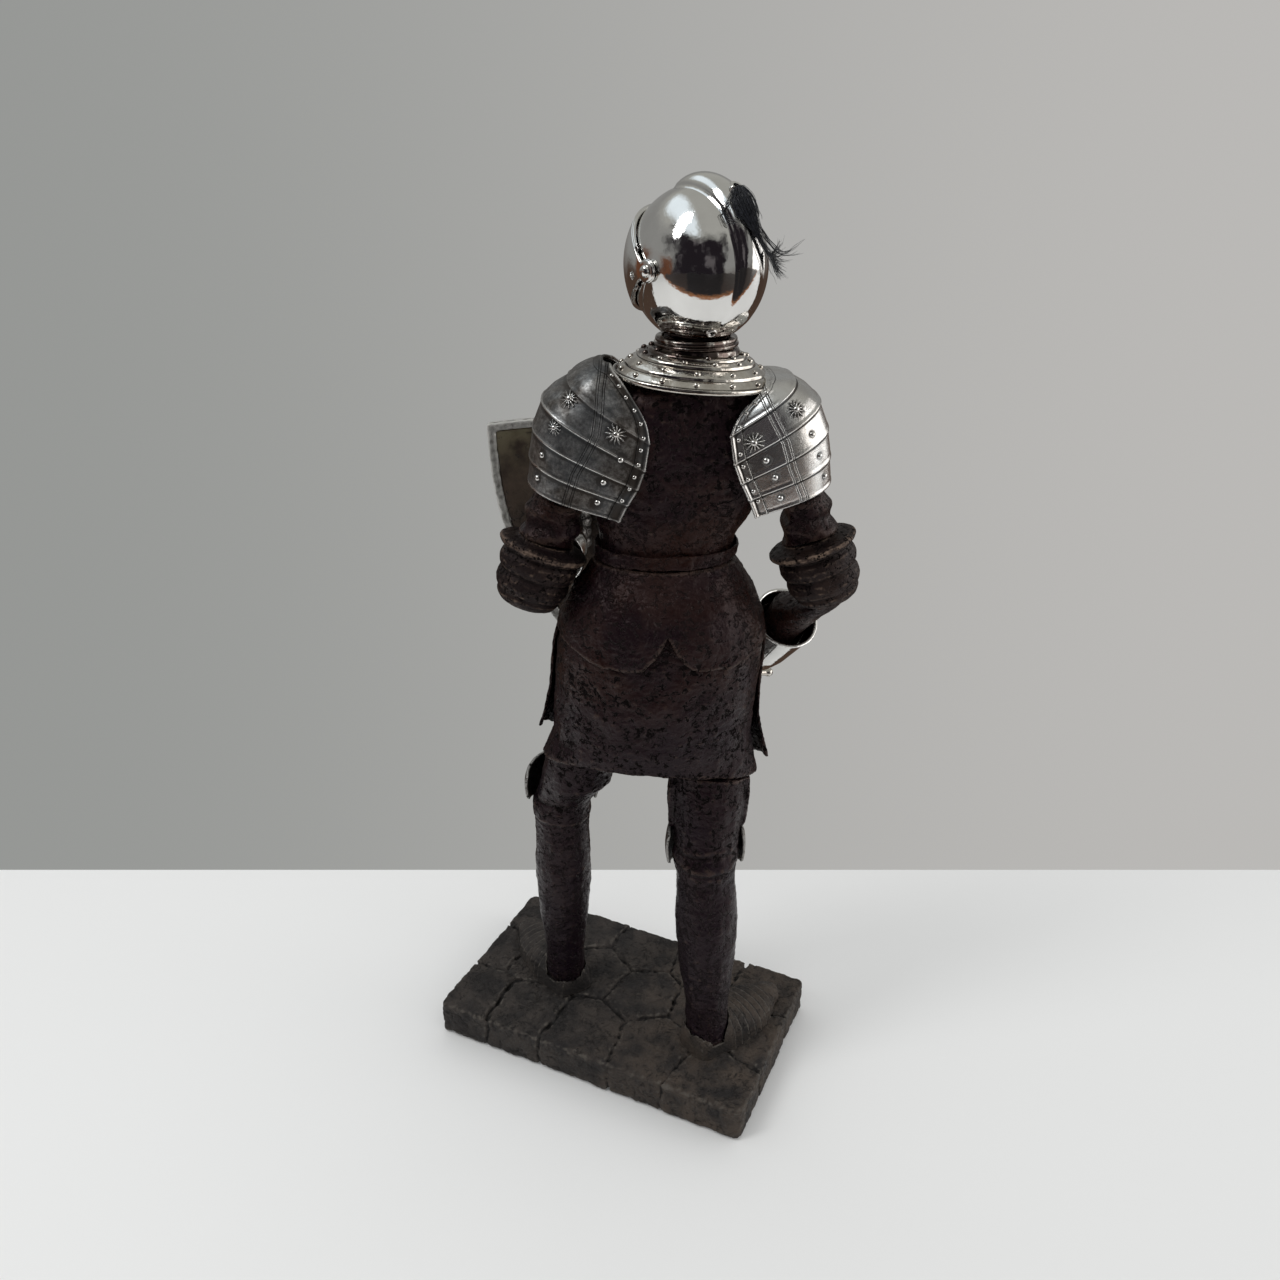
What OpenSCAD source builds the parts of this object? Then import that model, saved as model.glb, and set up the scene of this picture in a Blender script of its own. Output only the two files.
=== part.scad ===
// Knight in plate armour on a stone-paved plinth: a cast figure with plated armour
// pieces, a helmet that turns on its neck post and a visor that lifts.
// Millimetres. +Z is up, the origin is the centre of the plinth's underside,
// X runs along the plinth's long side and the figure looks towards -Y.

/* [Plinth] */
// Length of the plinth
base_l = 152; // [140:1:180]
// Depth of the plinth from front to back
base_w = 88; // [84:1:110]
// Height of the plinth with its felt
base_h = 17; // [13:0.5:24]
// Thickness of the felt under the plinth
felt_t = 1; // [0.6:0.1:2]
// How far the felt stays inside the stone edge
felt_inset = 2.5; // [1.5:0.5:5]
// Width of the joints between the flags
joint_w = 1.4; // [0.8:0.1:2]
// Depth of the joints between the flags
joint_d = 1.3; // [0.8:0.1:2]

/* [Stance] */
// Turn of the figure to its left on the plinth, in degrees
figure_turn = 27; // [20:1:32]
// Height of the skirt's hem above the plinth
leg_h = 133; // [120:1:150]
// Sideways distance between the two ankles
ankle_gap = 65; // [60:1:68]
// How far the left ankle stands ahead of the right one
ankle_stagger = 41; // [34:1:44]

/* [Legs] */
// Thickest radius of the calf
calf_r = 14; // [12:0.5:15]
// Radius of the leg at the ankle
ankle_r = 10; // [8.5:0.5:11]
// Radius of the thigh under the skirt
thigh_r = 15.5; // [14:0.5:16.5]
// Length of a foot
foot_l = 50; // [46:1:56]
// Width of a foot
foot_w = 27; // [23:1:28]
// Height of a foot at the instep
foot_h = 18; // [15:1:20]
// Number of lames across a foot
foot_lames = 8; // [5:1:10]

/* [Skirt] */
// Height of the skirt from hem to waist
skirt_h = 97; // [88:1:108]
// Width of the skirt at the hem
hem_w = 95; // [92:1:104]
// Depth of the skirt at the hem
hem_d = 50; // [46:1:58]
// Width across the hips
hip_w = 82; // [76:1:90]
// Depth through the hips
hip_d = 56; // [50:1:62]
// Thickness of the apron and of the rump guard
panel_t = 1.6; // [1.2:0.1:2.2]

/* [Torso] */
// Height of the torso from the waist to the root of the neck
torso_h = 71; // [64:1:80]
// Width of the waist
waist_w = 51; // [46:1:56]
// Depth of the waist
waist_d = 36; // [32:1:40]
// Width of the chest
chest_w = 74; // [68:1:78]
// Depth of the chest
chest_d = 47; // [42:1:50]
// How far the neck leans to the figure's right of the waist
lean = 10.5; // [6:0.5:13]
// Height of the belt
belt_h = 7; // [5:0.5:9]

/* [Neck] */
// Radius of the neck under the gorget
neck_r = 12; // [11:0.25:12.5]
// Width of the gorget's collar across the shoulders
collar_w = 59; // [54:1:64]
// Depth of the gorget's collar from front to back
collar_d = 50; // [46:1:54]
// Thickness of the gorget's plate
gorget_t = 1.4; // [1:0.1:1.6]

/* [Helmet] */
// Width of the skull across the pivots
helmet_w = 43.5; // [42:0.5:46]
// Radius of the skull about the pivot axis
helmet_r = 26; // [25:0.25:27.5]
// Turn of the helmet to the figure's left, against the body, in degrees
helmet_turn = 31; // [0:1:60]
// Thickness of the helmet's plates
helmet_t = 1.4; // [1:0.1:1.6]
// Height of the comb above the skull
comb_h = 4.5; // [3:0.25:5.5]
// Width of the comb at its foot
comb_w = 12; // [9:0.5:14]
// Running gap between the visor and what it slides over
visor_gap = 0.5; // [0.4:0.05:0.8]
// Radius of the visor's pivot pins
pivot_r = 1.5; // [1.2:0.1:2]
// Height of the eye slits
sight_h = 2.2; // [1.6:0.1:3]
// Number of breaths on each side of the visor
breaths = 5; // [3:1:6]
// Length of the plume's tail
plume_l = 34; // [28:1:38]

/* [Arms] */
// Radius of the upper arm
arm_r = 10.5; // [9.5:0.25:11]
// Radius of the elbow's flange
couter_r = 17; // [16:0.25:18]
// Radius of the wrist
wrist_r = 7; // [6:0.25:7.5]
// Radius of the gauntlet's flared mouth
cuff_r = 13.25; // [12:0.25:14]
// Thickness of the gauntlet's plate
cuff_t = 1.2; // [1:0.1:1.6]
// Thickness of a pauldron's plate
pauldron_t = 1.5; // [1.2:0.1:1.8]
// Number of lames in a pauldron
pauldron_lames = 5; // [4:1:6]

/* [Shield] */
// Width of the shield
shield_w = 64; // [58:1:68]
// Height of the shield
shield_h = 100; // [92:1:108]
// Thickness of the shield's board
shield_t = 2.4; // [2:0.2:3.2]
// Width of the shield's rim
rim_w = 3.2; // [2.4:0.2:4]

/* [Sword] */
// Width of the blade at the guard
blade_w = 9; // [7:0.5:10]
// Thickness of the blade
blade_t = 2.6; // [2:0.1:3]
// Radius of the grip
grip_r = 2.5; // [2:0.1:3]
// Length of the cross-guard
guard_l = 30; // [26:1:34]

/* [Hidden] */

// Colours of the castings and of the plated plates
resin = "#4a3a38";
pewter = "#8d8d88";
chrome = "#c8ccd0";
stone = "#5b5650";

// Levels up the figure
hem_z = base_h + leg_h;
waist_z = hem_z + skirt_h;
neck_z = waist_z + torso_h;
rim_z = neck_z + 12;
pivot_z = rim_z + sqrt(helmet_r * helmet_r - 13 * 13);
seat_gap = 0.12;

// Where the figure stands on the plinth
stand = [-19, 1, 0];
body_turn = 7;
neck_at = [-lean, 0, 0];

// ---- General forms ----

function unit(v) = v / norm(v);
function mix(a, b, t) = a + (b - a) * t;
function bow(x, p) = sign(x) * pow(abs(x), p);
function noise(i, k) = let (s = sin(i * 127.1 + k * 311.7) * 437.585) s - floor(s);
function middle(r) = [for (k = [0:2]) let (s = [for (p = r) p[k]]) (max(s) + min(s)) / 2];

// A level closed section about c with half sizes a across, f forwards and b backwards;
// e is its squareness, turn its heading, ridge and valley shape the mid line
function section(c, a, f, b, e = 2, n = 24, turn = 0, ridge = 0, valley = 0) =
    [for (i = [0:n - 1])
        let (t = 360 * i / n, s = sin(t), m = s < 0 ? 1 + ridge * pow(-s, 9) : 1 - valley * pow(s, 9),
             x = a * bow(cos(t), 2 / e), y = (s < 0 ? f : b) * m * bow(s, 2 / e))
        [c.x + x * cos(turn) - y * sin(turn), c.y + x * sin(turn) + y * cos(turn), c.z]];

// A round section about c square to the direction d
function round_section(c, d, r, n = 16) =
    let (w = unit(cross(d, [1, 0.02, 0])), s = cross(w, d))
    [for (i = [0:n - 1]) let (t = 360 * i / n) c + r * (cos(t) * s + sin(t) * w)];

// Closed solid through a list of sections with the same number of points
module loft(rings) {
    m = len(rings);
    n = len(rings[0]);
    points = concat([for (r = rings) each r], [middle(rings[0]), middle(rings[m - 1])]);
    walls = [for (j = [0:m - 2], i = [0:n - 1])
        let (a = j * n + i, b = j * n + (i + 1) % n)
        each [[a, a + n, b + n], [a, b + n, b]]];
    low = [for (i = [0:n - 1]) [m * n, i, (i + 1) % n]];
    high = [for (i = [0:n - 1]) [m * n + 1, (m - 1) * n + (i + 1) % n, (m - 1) * n + i]];
    polyhedron(points, concat(walls, low, high));
}

// Thin plate between two grids of points, the outer one given first
module plate(outer, inner) {
    m = len(outer);
    n = len(outer[0]);
    k = m * n;
    points = concat([for (r = outer) each r], [for (r = inner) each r]);
    quads = concat(
        [for (j = [0:m - 2], i = [0:n - 2]) let (a = j * n + i) [a, a + n, a + n + 1, a + 1]],
        [for (j = [0:m - 2], i = [0:n - 2]) let (a = k + j * n + i) [a, a + 1, a + n + 1, a + n]],
        [for (i = [0:n - 2]) [i, i + 1, k + i + 1, k + i]],
        [for (i = [0:n - 2]) let (a = k - n + i) [a, k + a, k + a + 1, a + 1]],
        [for (j = [0:m - 2]) let (a = j * n) [a, k + a, k + a + n, a + n]],
        [for (j = [0:m - 2]) let (a = j * n + n - 1) [a, a + n, k + a + n, k + a]]);
    polyhedron(points, [for (q = quads) each [[q[0], q[1], q[2]], [q[0], q[2], q[3]]]]);
}

// Children with their Z axis laid from p towards q, and their origin at p
module along(p, q) {
    d = q - p;
    translate(p) rotate([0, acos(d.z / norm(d)), atan2(d.y, d.x)]) children();
}

// Flat outline given as (back, up), extruded across the helmet
module across(w) {
    rotate([90, 0, 90]) translate([0, 0, -w / 2]) linear_extrude(w) children();
}

module figure() {
    translate(stand) rotate([0, 0, figure_turn]) children();
}

// ---- Plinth ----

// Middles of the flags, as shares of the plinth from its back left corner
flag_at = [[0.1, 0.16], [0.3, 0.12], [0.52, 0.15], [0.73, 0.12], [0.91, 0.17], [0.06, 0.5], [0.24, 0.42], [0.44, 0.47],
    [0.62, 0.4], [0.81, 0.48], [0.95, 0.46], [0.12, 0.84], [0.33, 0.77], [0.54, 0.82], [0.75, 0.8], [0.93, 0.82]];
function flag_mid(i) = [base_l * (flag_at[i].x - 0.5), base_w * (flag_at[i].y - 0.5)];

// Outline of one flag: all that lies nearer to its middle than to any other, less the joints
module flag(i) {
    r = 2.6;
    intersection() {
        offset(r) square([base_l - 2 * r, base_w - 2 * r], center = true);
        offset(r) offset(-r) intersection_for(k = [for (k = [0:len(flag_at) - 1]) if (k != i) k]) {
            a = flag_mid(i);
            b = flag_mid(k);
            translate((a + b) / 2) rotate(atan2(b.y - a.y, b.x - a.x))
                translate([-joint_w / 2 - 2 * base_l, -base_l]) square(2 * base_l);
        }
    }
}

module plinth() {
    core_l = base_l - 2 * joint_d - joint_w;
    core_w = base_w - 2 * joint_d - joint_w;
    color(stone) union() {
        translate([-core_l / 2, -core_w / 2, felt_t]) cube([core_l, core_w, base_h - joint_d - felt_t]);
        for (i = [0:len(flag_at) - 1])
            translate([0, 0, felt_t]) linear_extrude(base_h - felt_t) flag(i, $fn = 12);
    }
}

module felt() {
    l = base_l - joint_w - 2 * felt_inset;
    w = base_w - joint_w - 2 * felt_inset;
    r = 3;
    color("#20201f") linear_extrude(felt_t) union() {
        square([l - 2 * r, w], center = true);
        square([l, w - 2 * r], center = true);
        for (x = [-1, 1], y = [-1, 1])
            translate([x * (l / 2 - r), y * (w / 2 - r)]) circle(r, $fn = 32);
    }
}

// ---- Legs ----

// Ankle, knee and the way the foot points, for the left (1) and the right (-1) leg
function ankle(side) = side > 0
    ? [ankle_gap - 20.5, 22 - ankle_stagger, base_h] : [-20.5, 22, base_h];
function knee(side) = side > 0
    ? [ankle(1).x - 1.5, ankle(1).y + 7, base_h + 0.84 * leg_h]
    : [ankle(-1).x + 2.5, ankle(-1).y - 8, base_h + 0.76 * leg_h];
function toe_turn(side) = side > 0 ? 28 : -49;
// The leg carrying less weight is cast a little slimmer
function slim(side) = side > 0 ? 0.92 : 0.98;
function knee_r(side) = (calf_r + 0.6) * slim(side);

// Underside of the skirt: higher on the left and at the back
hem_mid = [5, 0];
function hem_level(p) = hem_z + 4 + 0.12 * (p.x - hem_mid.x) + 0.3 * p.y;

// Centre line and radius of the leg at a share s of the way from the sole up to the knee
function shin_at(side, s) =
    let (a = ankle(side), k = knee(side)) [mix(a.x, k.x, s), mix(a.y, k.y, s) + 2.5 * sin(180 * s), mix(a.z, k.z, s)];
shin_form = [[0.06, ankle_r + 0.4], [0.14, ankle_r], [0.24, ankle_r], [0.42, mix(ankle_r, calf_r, 0.55)],
    [0.58, mix(ankle_r, calf_r, 0.92)], [0.70, calf_r], [0.82, mix(ankle_r, calf_r, 0.86)],
    [0.90, mix(ankle_r, calf_r, 0.78)], [0.95, calf_r], [1, calf_r + 0.6]];

module shin_solid(side, grow = 0) {
    loft([for (f = shin_form) let (r = f[1] * slim(side))
        section(shin_at(side, f[0]), r + grow, r + grow, r * 1.06 + grow, n = 16)]);
}

module thigh_solid(side, grow = 0) {
    k = knee(side);
    hip = side > 0 ? [k.x - 10, k.y + 8] : [k.x - 1.5, k.y - 7];
    rise = hem_z - k.z;
    rings = [for (f = [[0, knee_r(side)], [0.12, knee_r(side) - 0.4], [0.24, calf_r * slim(side)],
                       [0.4, (calf_r + 0.8) * slim(side)], [0.7, mix(calf_r, thigh_r, 0.8)]])
        section([mix(k.x, hip.x, f[0]), mix(k.y, hip.y, f[0]), k.z + rise * f[0]],
                f[1] + grow, f[1] + grow, f[1] * 1.04 + grow, n = 16)];
    last = section([hip.x, hip.y, 0], thigh_r + grow, thigh_r + grow, thigh_r + grow, n = 16);
    loft(concat(rings, [[for (p = last) [p.x, p.y, hem_level(p)]]]));
}

module greave(side) {
    color(resin) figure() shin_solid(side);
}

// The front of the thigh stands proud as a plate, with its edges down both sides
module cuisse_solid(side, grow = 0) {
    k = knee(side);
    union() {
        thigh_solid(side, grow);
        intersection() {
            thigh_solid(side, (side > 0 ? 1 : 2.2) + grow);
            translate([k.x - 50, k.y - 52 + grow, k.z + 0.3 * (hem_z - k.z) - grow]) cube([100, 50, leg_h]);
        }
    }
}

module cuisse(side) {
    color(resin) figure() cuisse_solid(side);
}

// Knee cop: a bowl over the front of the knee with a wing at each side
module poleyn(side) {
    k = knee(side);
    h = side > 0 ? 11 : 14;
    mid_z = k.z + (side > 0 ? 6 : 2);
    cols = 14;
    spread = 96;
    rows = [-1, -0.8, -0.5, -0.2, 0, 0.2, 0.5, 0.8, 1];
    r0 = knee_r(side) + 0.35;
    function lift(z, t) = pow(1 - z * z, 0.8) * (0.3 + 2.7 * pow(cos(t / 2), 4));
    function at(z, t, d) = let (r = r0 + d + lift(z, t))
        [k.x + r * sin(t), k.y - r * cos(t) + mix(0, 1, abs(z)), mid_z + h * z * (1 - 0.5 * pow(abs(t) / spread, 2))];
    grid = function(d) [for (z = rows) [for (i = [0:cols]) at(z, -spread + 2 * spread * i / cols, d)]];
    color(pewter) figure() difference() {
        plate(grid(1.4), grid(0));
        shin_solid(side, seat_gap);
        cuisse_solid(side, seat_gap);
    }
}

// Foot of overlapping lames, rounded at the heel and drawn in to the toe
module sabaton(side) {
    a = ankle(side);
    step = (foot_l - 16) / foot_lames;
    function high(s) = mix(foot_h, 6.5, pow(s, 0.75));
    function wide(s) = foot_w / 2 * (1 - 0.5 * pow(s, 3.2)) * (0.94 + 0.12 * sin(150 * s));
    function ring(x, w, h) = [for (i = [0:13])
        let (t = 360 * i / 14)
        [x, w * cos(t), t <= 180 ? h * pow(sin(t), 0.75) : 0]];
    heel = [[-11.2, 4.5, 9], [-10.2, 7.6, 13], [-7.5, 9.6, foot_h - 2], [-3, 10.4, foot_h - 0.4], [6, foot_w / 2, foot_h]];
    lames = [for (k = [0:foot_lames - 1])
        let (s0 = k / foot_lames, s1 = (k + 1) / foot_lames, x0 = 6 + k * step, x1 = 6 + (k + 1) * step)
        each [[x0 + 0.2, wide(s0) - 0.45, high(s0) - 0.5], [x1 - 0.1, wide(s1) + 0.35, high(s1) + 0.5]]];
    tip = [[foot_l - 7, foot_w / 4 - 0.4, 5.6], [foot_l - 4.5, foot_w / 6, 4.6], [foot_l - 3, foot_w / 12, 3]];
    color(resin) figure() difference() {
        translate(a) rotate([0, 0, toe_turn(side) - 90])
            loft([for (r = concat(heel, lames, tip)) ring(r[0], r[1], r[2])]);
        shin_solid(side, seat_gap);
    }
}

// ---- Skirt and belt ----

// Sections of the skirt from the hem, its underside, to the waist
function skirt_rings(grow, n = 32) =
    let (low = section([hem_mid.x, hem_mid.y, 0], hem_w / 2 - 2 + grow, hem_d / 2 + grow, hem_d / 2 + grow, 2.3, n))
    concat([[for (p = low) [p.x, p.y, hem_level(p)]]],
        [for (f = [[0.22, 0.93, 0.98, 1.0, 4.4], [0.42, 1.0, 1.0, 1.06, 3], [0.62, 1.0, 0.99, 1.12, 1.4],
                   [0.76, 0.93, 0.93, 1.04, 0.8], [0.88, 0.80, 0.82, 0.86, 0.3]])
            section([f[4], 0, hem_z + skirt_h * f[0]], hip_w / 2 * f[1] + grow + (f[0] < 0.3 ? 2.6 : 0),
                    hip_d / 2 * f[2] * 0.96 + grow, hip_d / 2 * f[3] + grow, 2.2, n, 0, 0, f[0] > 0.5 && f[0] < 0.8 ? 0.07 : 0)],
        [section([0, 0, waist_z], waist_w / 2 + grow, waist_d / 2 + grow, waist_d / 2 + grow, 2.1, n)]);

module skirt() {
    color(resin) figure() loft(skirt_rings(0));
}

// Point i of the skirt's ring j, pushed out by d
function off_skirt(j, i, d) = let (r = skirt_rings(0)[j], p = r[i], c = middle(r), v = unit([p.x - c.x, p.y - c.y, 0])) p + v * d;

// Front panels of the skirt, open at both sides, shorter there and flaring at the lower corners
module apron() {
    n = 32;
    cols = [for (i = [n / 2:n]) i % n];
    push = [4.4, 2.2, 0.6, 0.2, 0.15, 0.15];
    function flare(j, i) = seat_gap + push[j] * (0.35 + 0.65 * pow(abs(cos(360 * i / n)), 2));
    // Share of the way up to the next ring at which the lower edge runs
    function cut(i) = let (c = cos(360 * i / n)) c > 0 ? pow(c, 3) : 0.35 * pow(-c, 3);
    grid = function(d) [for (j = [0:5]) [for (i = cols) let (p = off_skirt(j, i, flare(j, i) + d))
        j > 1 ? p : j == 1 ? mix(p, off_skirt(2, i, flare(1, i) + d), 0.5 * cut(i))
            : mix(p - [0, 0, 3], off_skirt(1, i, flare(0, i) + d), cut(i))]];
    color(resin) figure() difference() {
        plate(grid(panel_t), grid(0));
        loft(skirt_rings(seat_gap / 2));
    }
}

// Rump guard: two lobes hanging from the belt over the back
module culet() {
    drop = 0.36 * skirt_h;
    spread = hip_w / 2 + 8;
    lobes = [[-spread, 10], [-spread, -drop * 0.55], [-spread * 0.85, -drop * 0.86], [-spread * 0.5, -drop * 1.02],
        [-spread * 0.2, -drop], [-6, -drop * 0.9], [0, -drop * 0.62], [5, -drop * 0.86], [spread * 0.2, -drop],
        [spread * 0.5, -drop * 0.98], [spread * 0.85, -drop * 0.8], [spread, -drop * 0.5], [spread, 10]];
    color(resin) figure() intersection() {
        difference() {
            loft(skirt_rings(panel_t + seat_gap));
            loft(skirt_rings(seat_gap));
            translate([-100, -100, waist_z - 0.2]) cube(200);
        }
        translate([0, 0.4, waist_z]) rotate([90, 0, 180]) linear_extrude(60) mirror([1, 0]) polygon(lobes);
    }
}

module belt() {
    form = torso_form();
    // The strap lies on the torso's own lowest stretch
    function at(z, g) = torso_ring(mix(form[0], form[1], z / (torso_h * form[1][0])), g);
    color(resin) figure() ring_shell(
        [for (f = [[belt_h - 0.05, 1.7], [belt_h - 1, 2.4], [1, 2.4], [0.05, 1.7]]) at(f[0], f[1])],
        [for (z = [belt_h - 0.05, belt_h - 1, 1, 0.05]) at(z, seat_gap)]);
}

// ---- Torso and neck ----

// Each ring of the torso: share of its height, half width, depth in front and behind, groove
function torso_form() = let (cw = chest_w / 2, cd = chest_d / 2)
    [[0, waist_w / 2, waist_d / 2, waist_d / 2, 0], [0.13, waist_w / 2 + 0.6, waist_d / 2 + 1, waist_d / 2, 0],
        [0.32, mix(waist_w / 2, cw, 0.55), cd, cd * 0.86, 0.04], [0.5, mix(waist_w / 2, cw, 0.9), cd * 1.12, cd * 0.92, 0.07],
        [0.66, cw, cd * 1.08, cd * 0.94, 0.08], [0.8, cw * 0.97, cd * 0.92, cd * 0.88, 0.06],
        [0.9, cw * 0.82, cd * 0.78, cd * 0.8, 0.03], [0.955, cw * 0.62, cd * 0.68, cd * 0.7, 0],
        [1, neck_r + 2, neck_r + 1, neck_r + 1, 0]];
function torso_ring(f, grow) = section([-lean * f[0], 0, waist_z + torso_h * f[0]], f[1] + grow, f[2] + grow, f[3] + grow,
    mix(2.1, 2.4, sin(180 * f[0])), 24, body_turn * f[0], f[4], f[4]);

module torso_solid(grow = 0) {
    loft([for (f = torso_form()) torso_ring(f, grow)]);
}

// Half space in front of (-1) or behind (1) the line along the flanks
module half(side) {
    translate([-90, side > 0 ? 0 : -180, waist_z - 1]) cube([180, 180, torso_h + 2]);
}

module backplate() {
    color(resin) figure() intersection() {
        torso_solid();
        half(1);
    }
}

module breastplate() {
    color(resin) figure() intersection() {
        torso_solid();
        half(-1);
    }
}

// Post the helmet turns on, standing on the shoulders
post_r = 4;
post_h = 14;
module neck_post() {
    color(resin) figure() translate(neck_at) union() {
        translate([0, 0, neck_z]) cylinder(r = neck_r, h = rim_z - neck_z - 0.4, $fn = 64);
        translate([0, 0, rim_z - 1]) cylinder(r = post_r, h = post_h + 1, $fn = 48);
    }
}

// Rings about the neck post, each smaller than the one below
module neck_lames() {
    gap = 0.15;
    h = rim_z - neck_z - 8.6;
    color(chrome) figure() translate([neck_at.x, neck_at.y, neck_z + 8]) rotate_extrude($fn = 96)
        polygon([[neck_r + gap, 0], [neck_r + 2.6, 0], [neck_r + 3, h * 0.1], [neck_r + 2.8, h * 0.4], [neck_r + 2.1, h * 0.48],
            [neck_r + 2.5, h * 0.55], [neck_r + 2.4, h * 0.88], [neck_r + 1.9, h], [neck_r + gap, h]]);
}

// Collar plate: a shallow cone over the shoulders with a rolled edge
module gorget_form(t, grow = 0) {
    cw = collar_w / 2;
    cd = collar_d / 2;
    n = 28;
    form = [[0.02, 4.5], [0.17, 4.3], [0.19, 3.4], [0.42, 2.6], [0.44, 1.2], [0.7, -0.9], [0.72, -2], [0.93, -4.8], [1, -6.2]];
    base = neck_r + 1.5;
    function pts(d, lift) = [for (f = form) section([0, 0, f[1] + lift],
        mix(base, cw, f[0]) + d, mix(base, cd, f[0]) + d, mix(base, cd, f[0]) + d, 2.1, n)];
    translate([neck_at.x, neck_at.y, neck_z + 2]) rotate([0, -5, body_turn]) ring_shell(pts(grow, grow), pts(-t * 0.35, -t));
}

// Closed collar between an outer and an inner list of rings
module ring_shell(outer, inner) {
    m = len(outer);
    n = len(outer[0]);
    k = m * n;
    points = concat([for (r = outer) each r], [for (r = inner) each r]);
    quads = [for (i = [0:n - 1]) let (e = (i + 1) % n) each concat(
        [for (j = [0:m - 2]) [j * n + i, j * n + e, j * n + n + e, j * n + n + i]],
        [for (j = [0:m - 2]) [k + j * n + i, k + j * n + n + i, k + j * n + n + e, k + j * n + e]],
        [[i, k + i, k + e, e]],
        [[k - n + i, k - n + e, 2 * k - n + e, 2 * k - n + i]])];
    polyhedron(points, [for (q = quads) each [[q[0], q[1], q[2]], [q[0], q[2], q[3]]]]);
}

// Room for the collar, kept clear of the shoulder plates
module collar_room() {
    a = collar_w / 2 + 0.8;
    b = collar_d / 2 + 0.8;
    translate([neck_at.x, neck_at.y, neck_z + 2]) rotate([0, -5, body_turn])
        loft([for (f = [[1, -9], [1, -5], [0.99, -2.6], [0.6, 5], [0.5, 9]])
            section([0, 0, f[1]], a * f[0], b * f[0], b * f[0], 2.1, 16)]);
}

module gorget() {
    color(chrome) figure() difference() {
        gorget_form(gorget_t);
        torso_solid(seat_gap);
    }
}

// ---- Arms ----

shoulder_out = chest_w / 2 - 1;
chest_mid = [-lean * 0.5, 0, waist_z + 0.62 * torso_h];
function shoulder(side) = chest_mid + [side * shoulder_out, 0, 1];
function elbow(side) = chest_mid + [side * (shoulder_out + 19.5), 5, -52];
function arm_dir(side) = unit(elbow(side) - shoulder(side));
couter_up = 17;
couter_down = 9.5;

module upper_arm(side) {
    d = arm_dir(side);
    e = elbow(side);
    reach = norm(e - shoulder(side));
    form = [[0, 0.9], [0.12, 1], [0.4, 1.04], [0.55, 1], [0.6, 1.08], [0.68, 1.02], [0.75, 1.12], [0.84, 1.04], [1, 1.06]];
    flank = -lean * (side > 0 ? 0.6 : 0.7) + side * (chest_w / 2 + 0.3);
    color(resin) figure() difference() {
        loft([for (f = form) round_section(mix(shoulder(side), e - couter_up * d, f[0]), d, arm_r * f[1], 16)]);
        // Flat seat against the flank of the torso
        translate([side > 0 ? flank - 100 : flank, -50, waist_z]) cube(100);
    }
}

// Elbow cop: a flange over two rounded lames
module couter_form(grow = 0) {
    g = grow;
    rotate_extrude($fn = 96) polygon([[0, -couter_up - g], [arm_r + g, -couter_up - g], [arm_r + 1 + g, -couter_up + 1],
        [couter_r - 1.6 + g, -couter_up + 1.6 - g], [couter_r + g, -couter_up + 2.4 - g], [couter_r + 0.2 + g, -couter_up + 3.6],
        [couter_r - 0.8 + g, -couter_up + 4.8 + g], [arm_r + 3.2 + g, -couter_up + 6 + g], [arm_r + 4.4 + g, -9],
        [arm_r + 4.6 + g, -6.5], [arm_r + 3.8 + g, -4], [arm_r + 2.9 + g, -3.4], [arm_r + 3.7 + g, -1], [arm_r + 3.7 + g, 1.6],
        [arm_r + 2.7 + g, 4], [arm_r + 1.8 + g, 4.6], [arm_r + 1.9 + g, 6.4], [arm_r + 0.6 + g, 8.4], [arm_r - 1 + g, couter_down + g],
        [0, couter_down + g]]);
}

module couter(side) {
    color(resin) figure() along(elbow(side), elbow(side) + arm_dir(side)) couter_form();
}

// The hands: the left one holds the shield in front, the right one the sword by the hip
function wrist(side) = side > 0 ? [38, -26, elbow(1).z + 4] : [-hip_w / 2 - 2.2, -34.5, 187];
function palm(side) = side > 0 ? [35, -38, elbow(1).z + 6] : [-hip_w / 2 + 1.2, -47.5, 180];
function fore_dir(side) = unit(wrist(side) - elbow(side));

module forearm_solid(side, grow = 0) {
    d = fore_dir(side);
    e = elbow(side);
    w = wrist(side);
    r = arm_r - 1.2;
    start = side > 0 ? [round_section(e + 8 * d, d, r + grow), round_section(mix(e, w, 0.5), d, r + grow)]
        : [round_section(e + couter_down * arm_dir(side), arm_dir(side), r + grow),
           round_section(mix(e, w, 0.42), d, r + grow)];
    loft(concat(start, [round_section(mix(e, w, 0.75), d, mix(wrist_r, r, 0.4) + grow), round_section(w, d, wrist_r + grow)]));
}

module forearm(side) {
    color(resin) figure() difference() {
        forearm_solid(side);
        along(elbow(side), elbow(side) + arm_dir(side)) couter_form(side > 0 ? seat_gap : 0.01);
    }
}

// Flared cuff of a gauntlet about the wrist
cuff_l = 33;
module gauntlet(side) {
    d = fore_dir(side);
    w = wrist(side);
    l = side > 0 ? cuff_l * 0.4 : cuff_l;
    r = side > 0 ? cuff_r - 0.9 : cuff_r;
    t = cuff_t;
    wr = wrist_r + 0.9;
    color(chrome) figure() along(w, w - d) rotate_extrude($fn = 96)
        polygon([[wr - 0.75, 0], [wr + t, 0], [mix(wr, r, 0.35) + t, l * 0.28], [r - 0.3, l - 1.6],
            [r + 0.4, l - 1.2], [r + 0.5, l - 0.3], [r - 0.2, l], [r - t, l - 0.6],
            [mix(wr, r, 0.35), l * 0.28], [wr - 0.1, l * 0.12]]);
}

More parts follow.
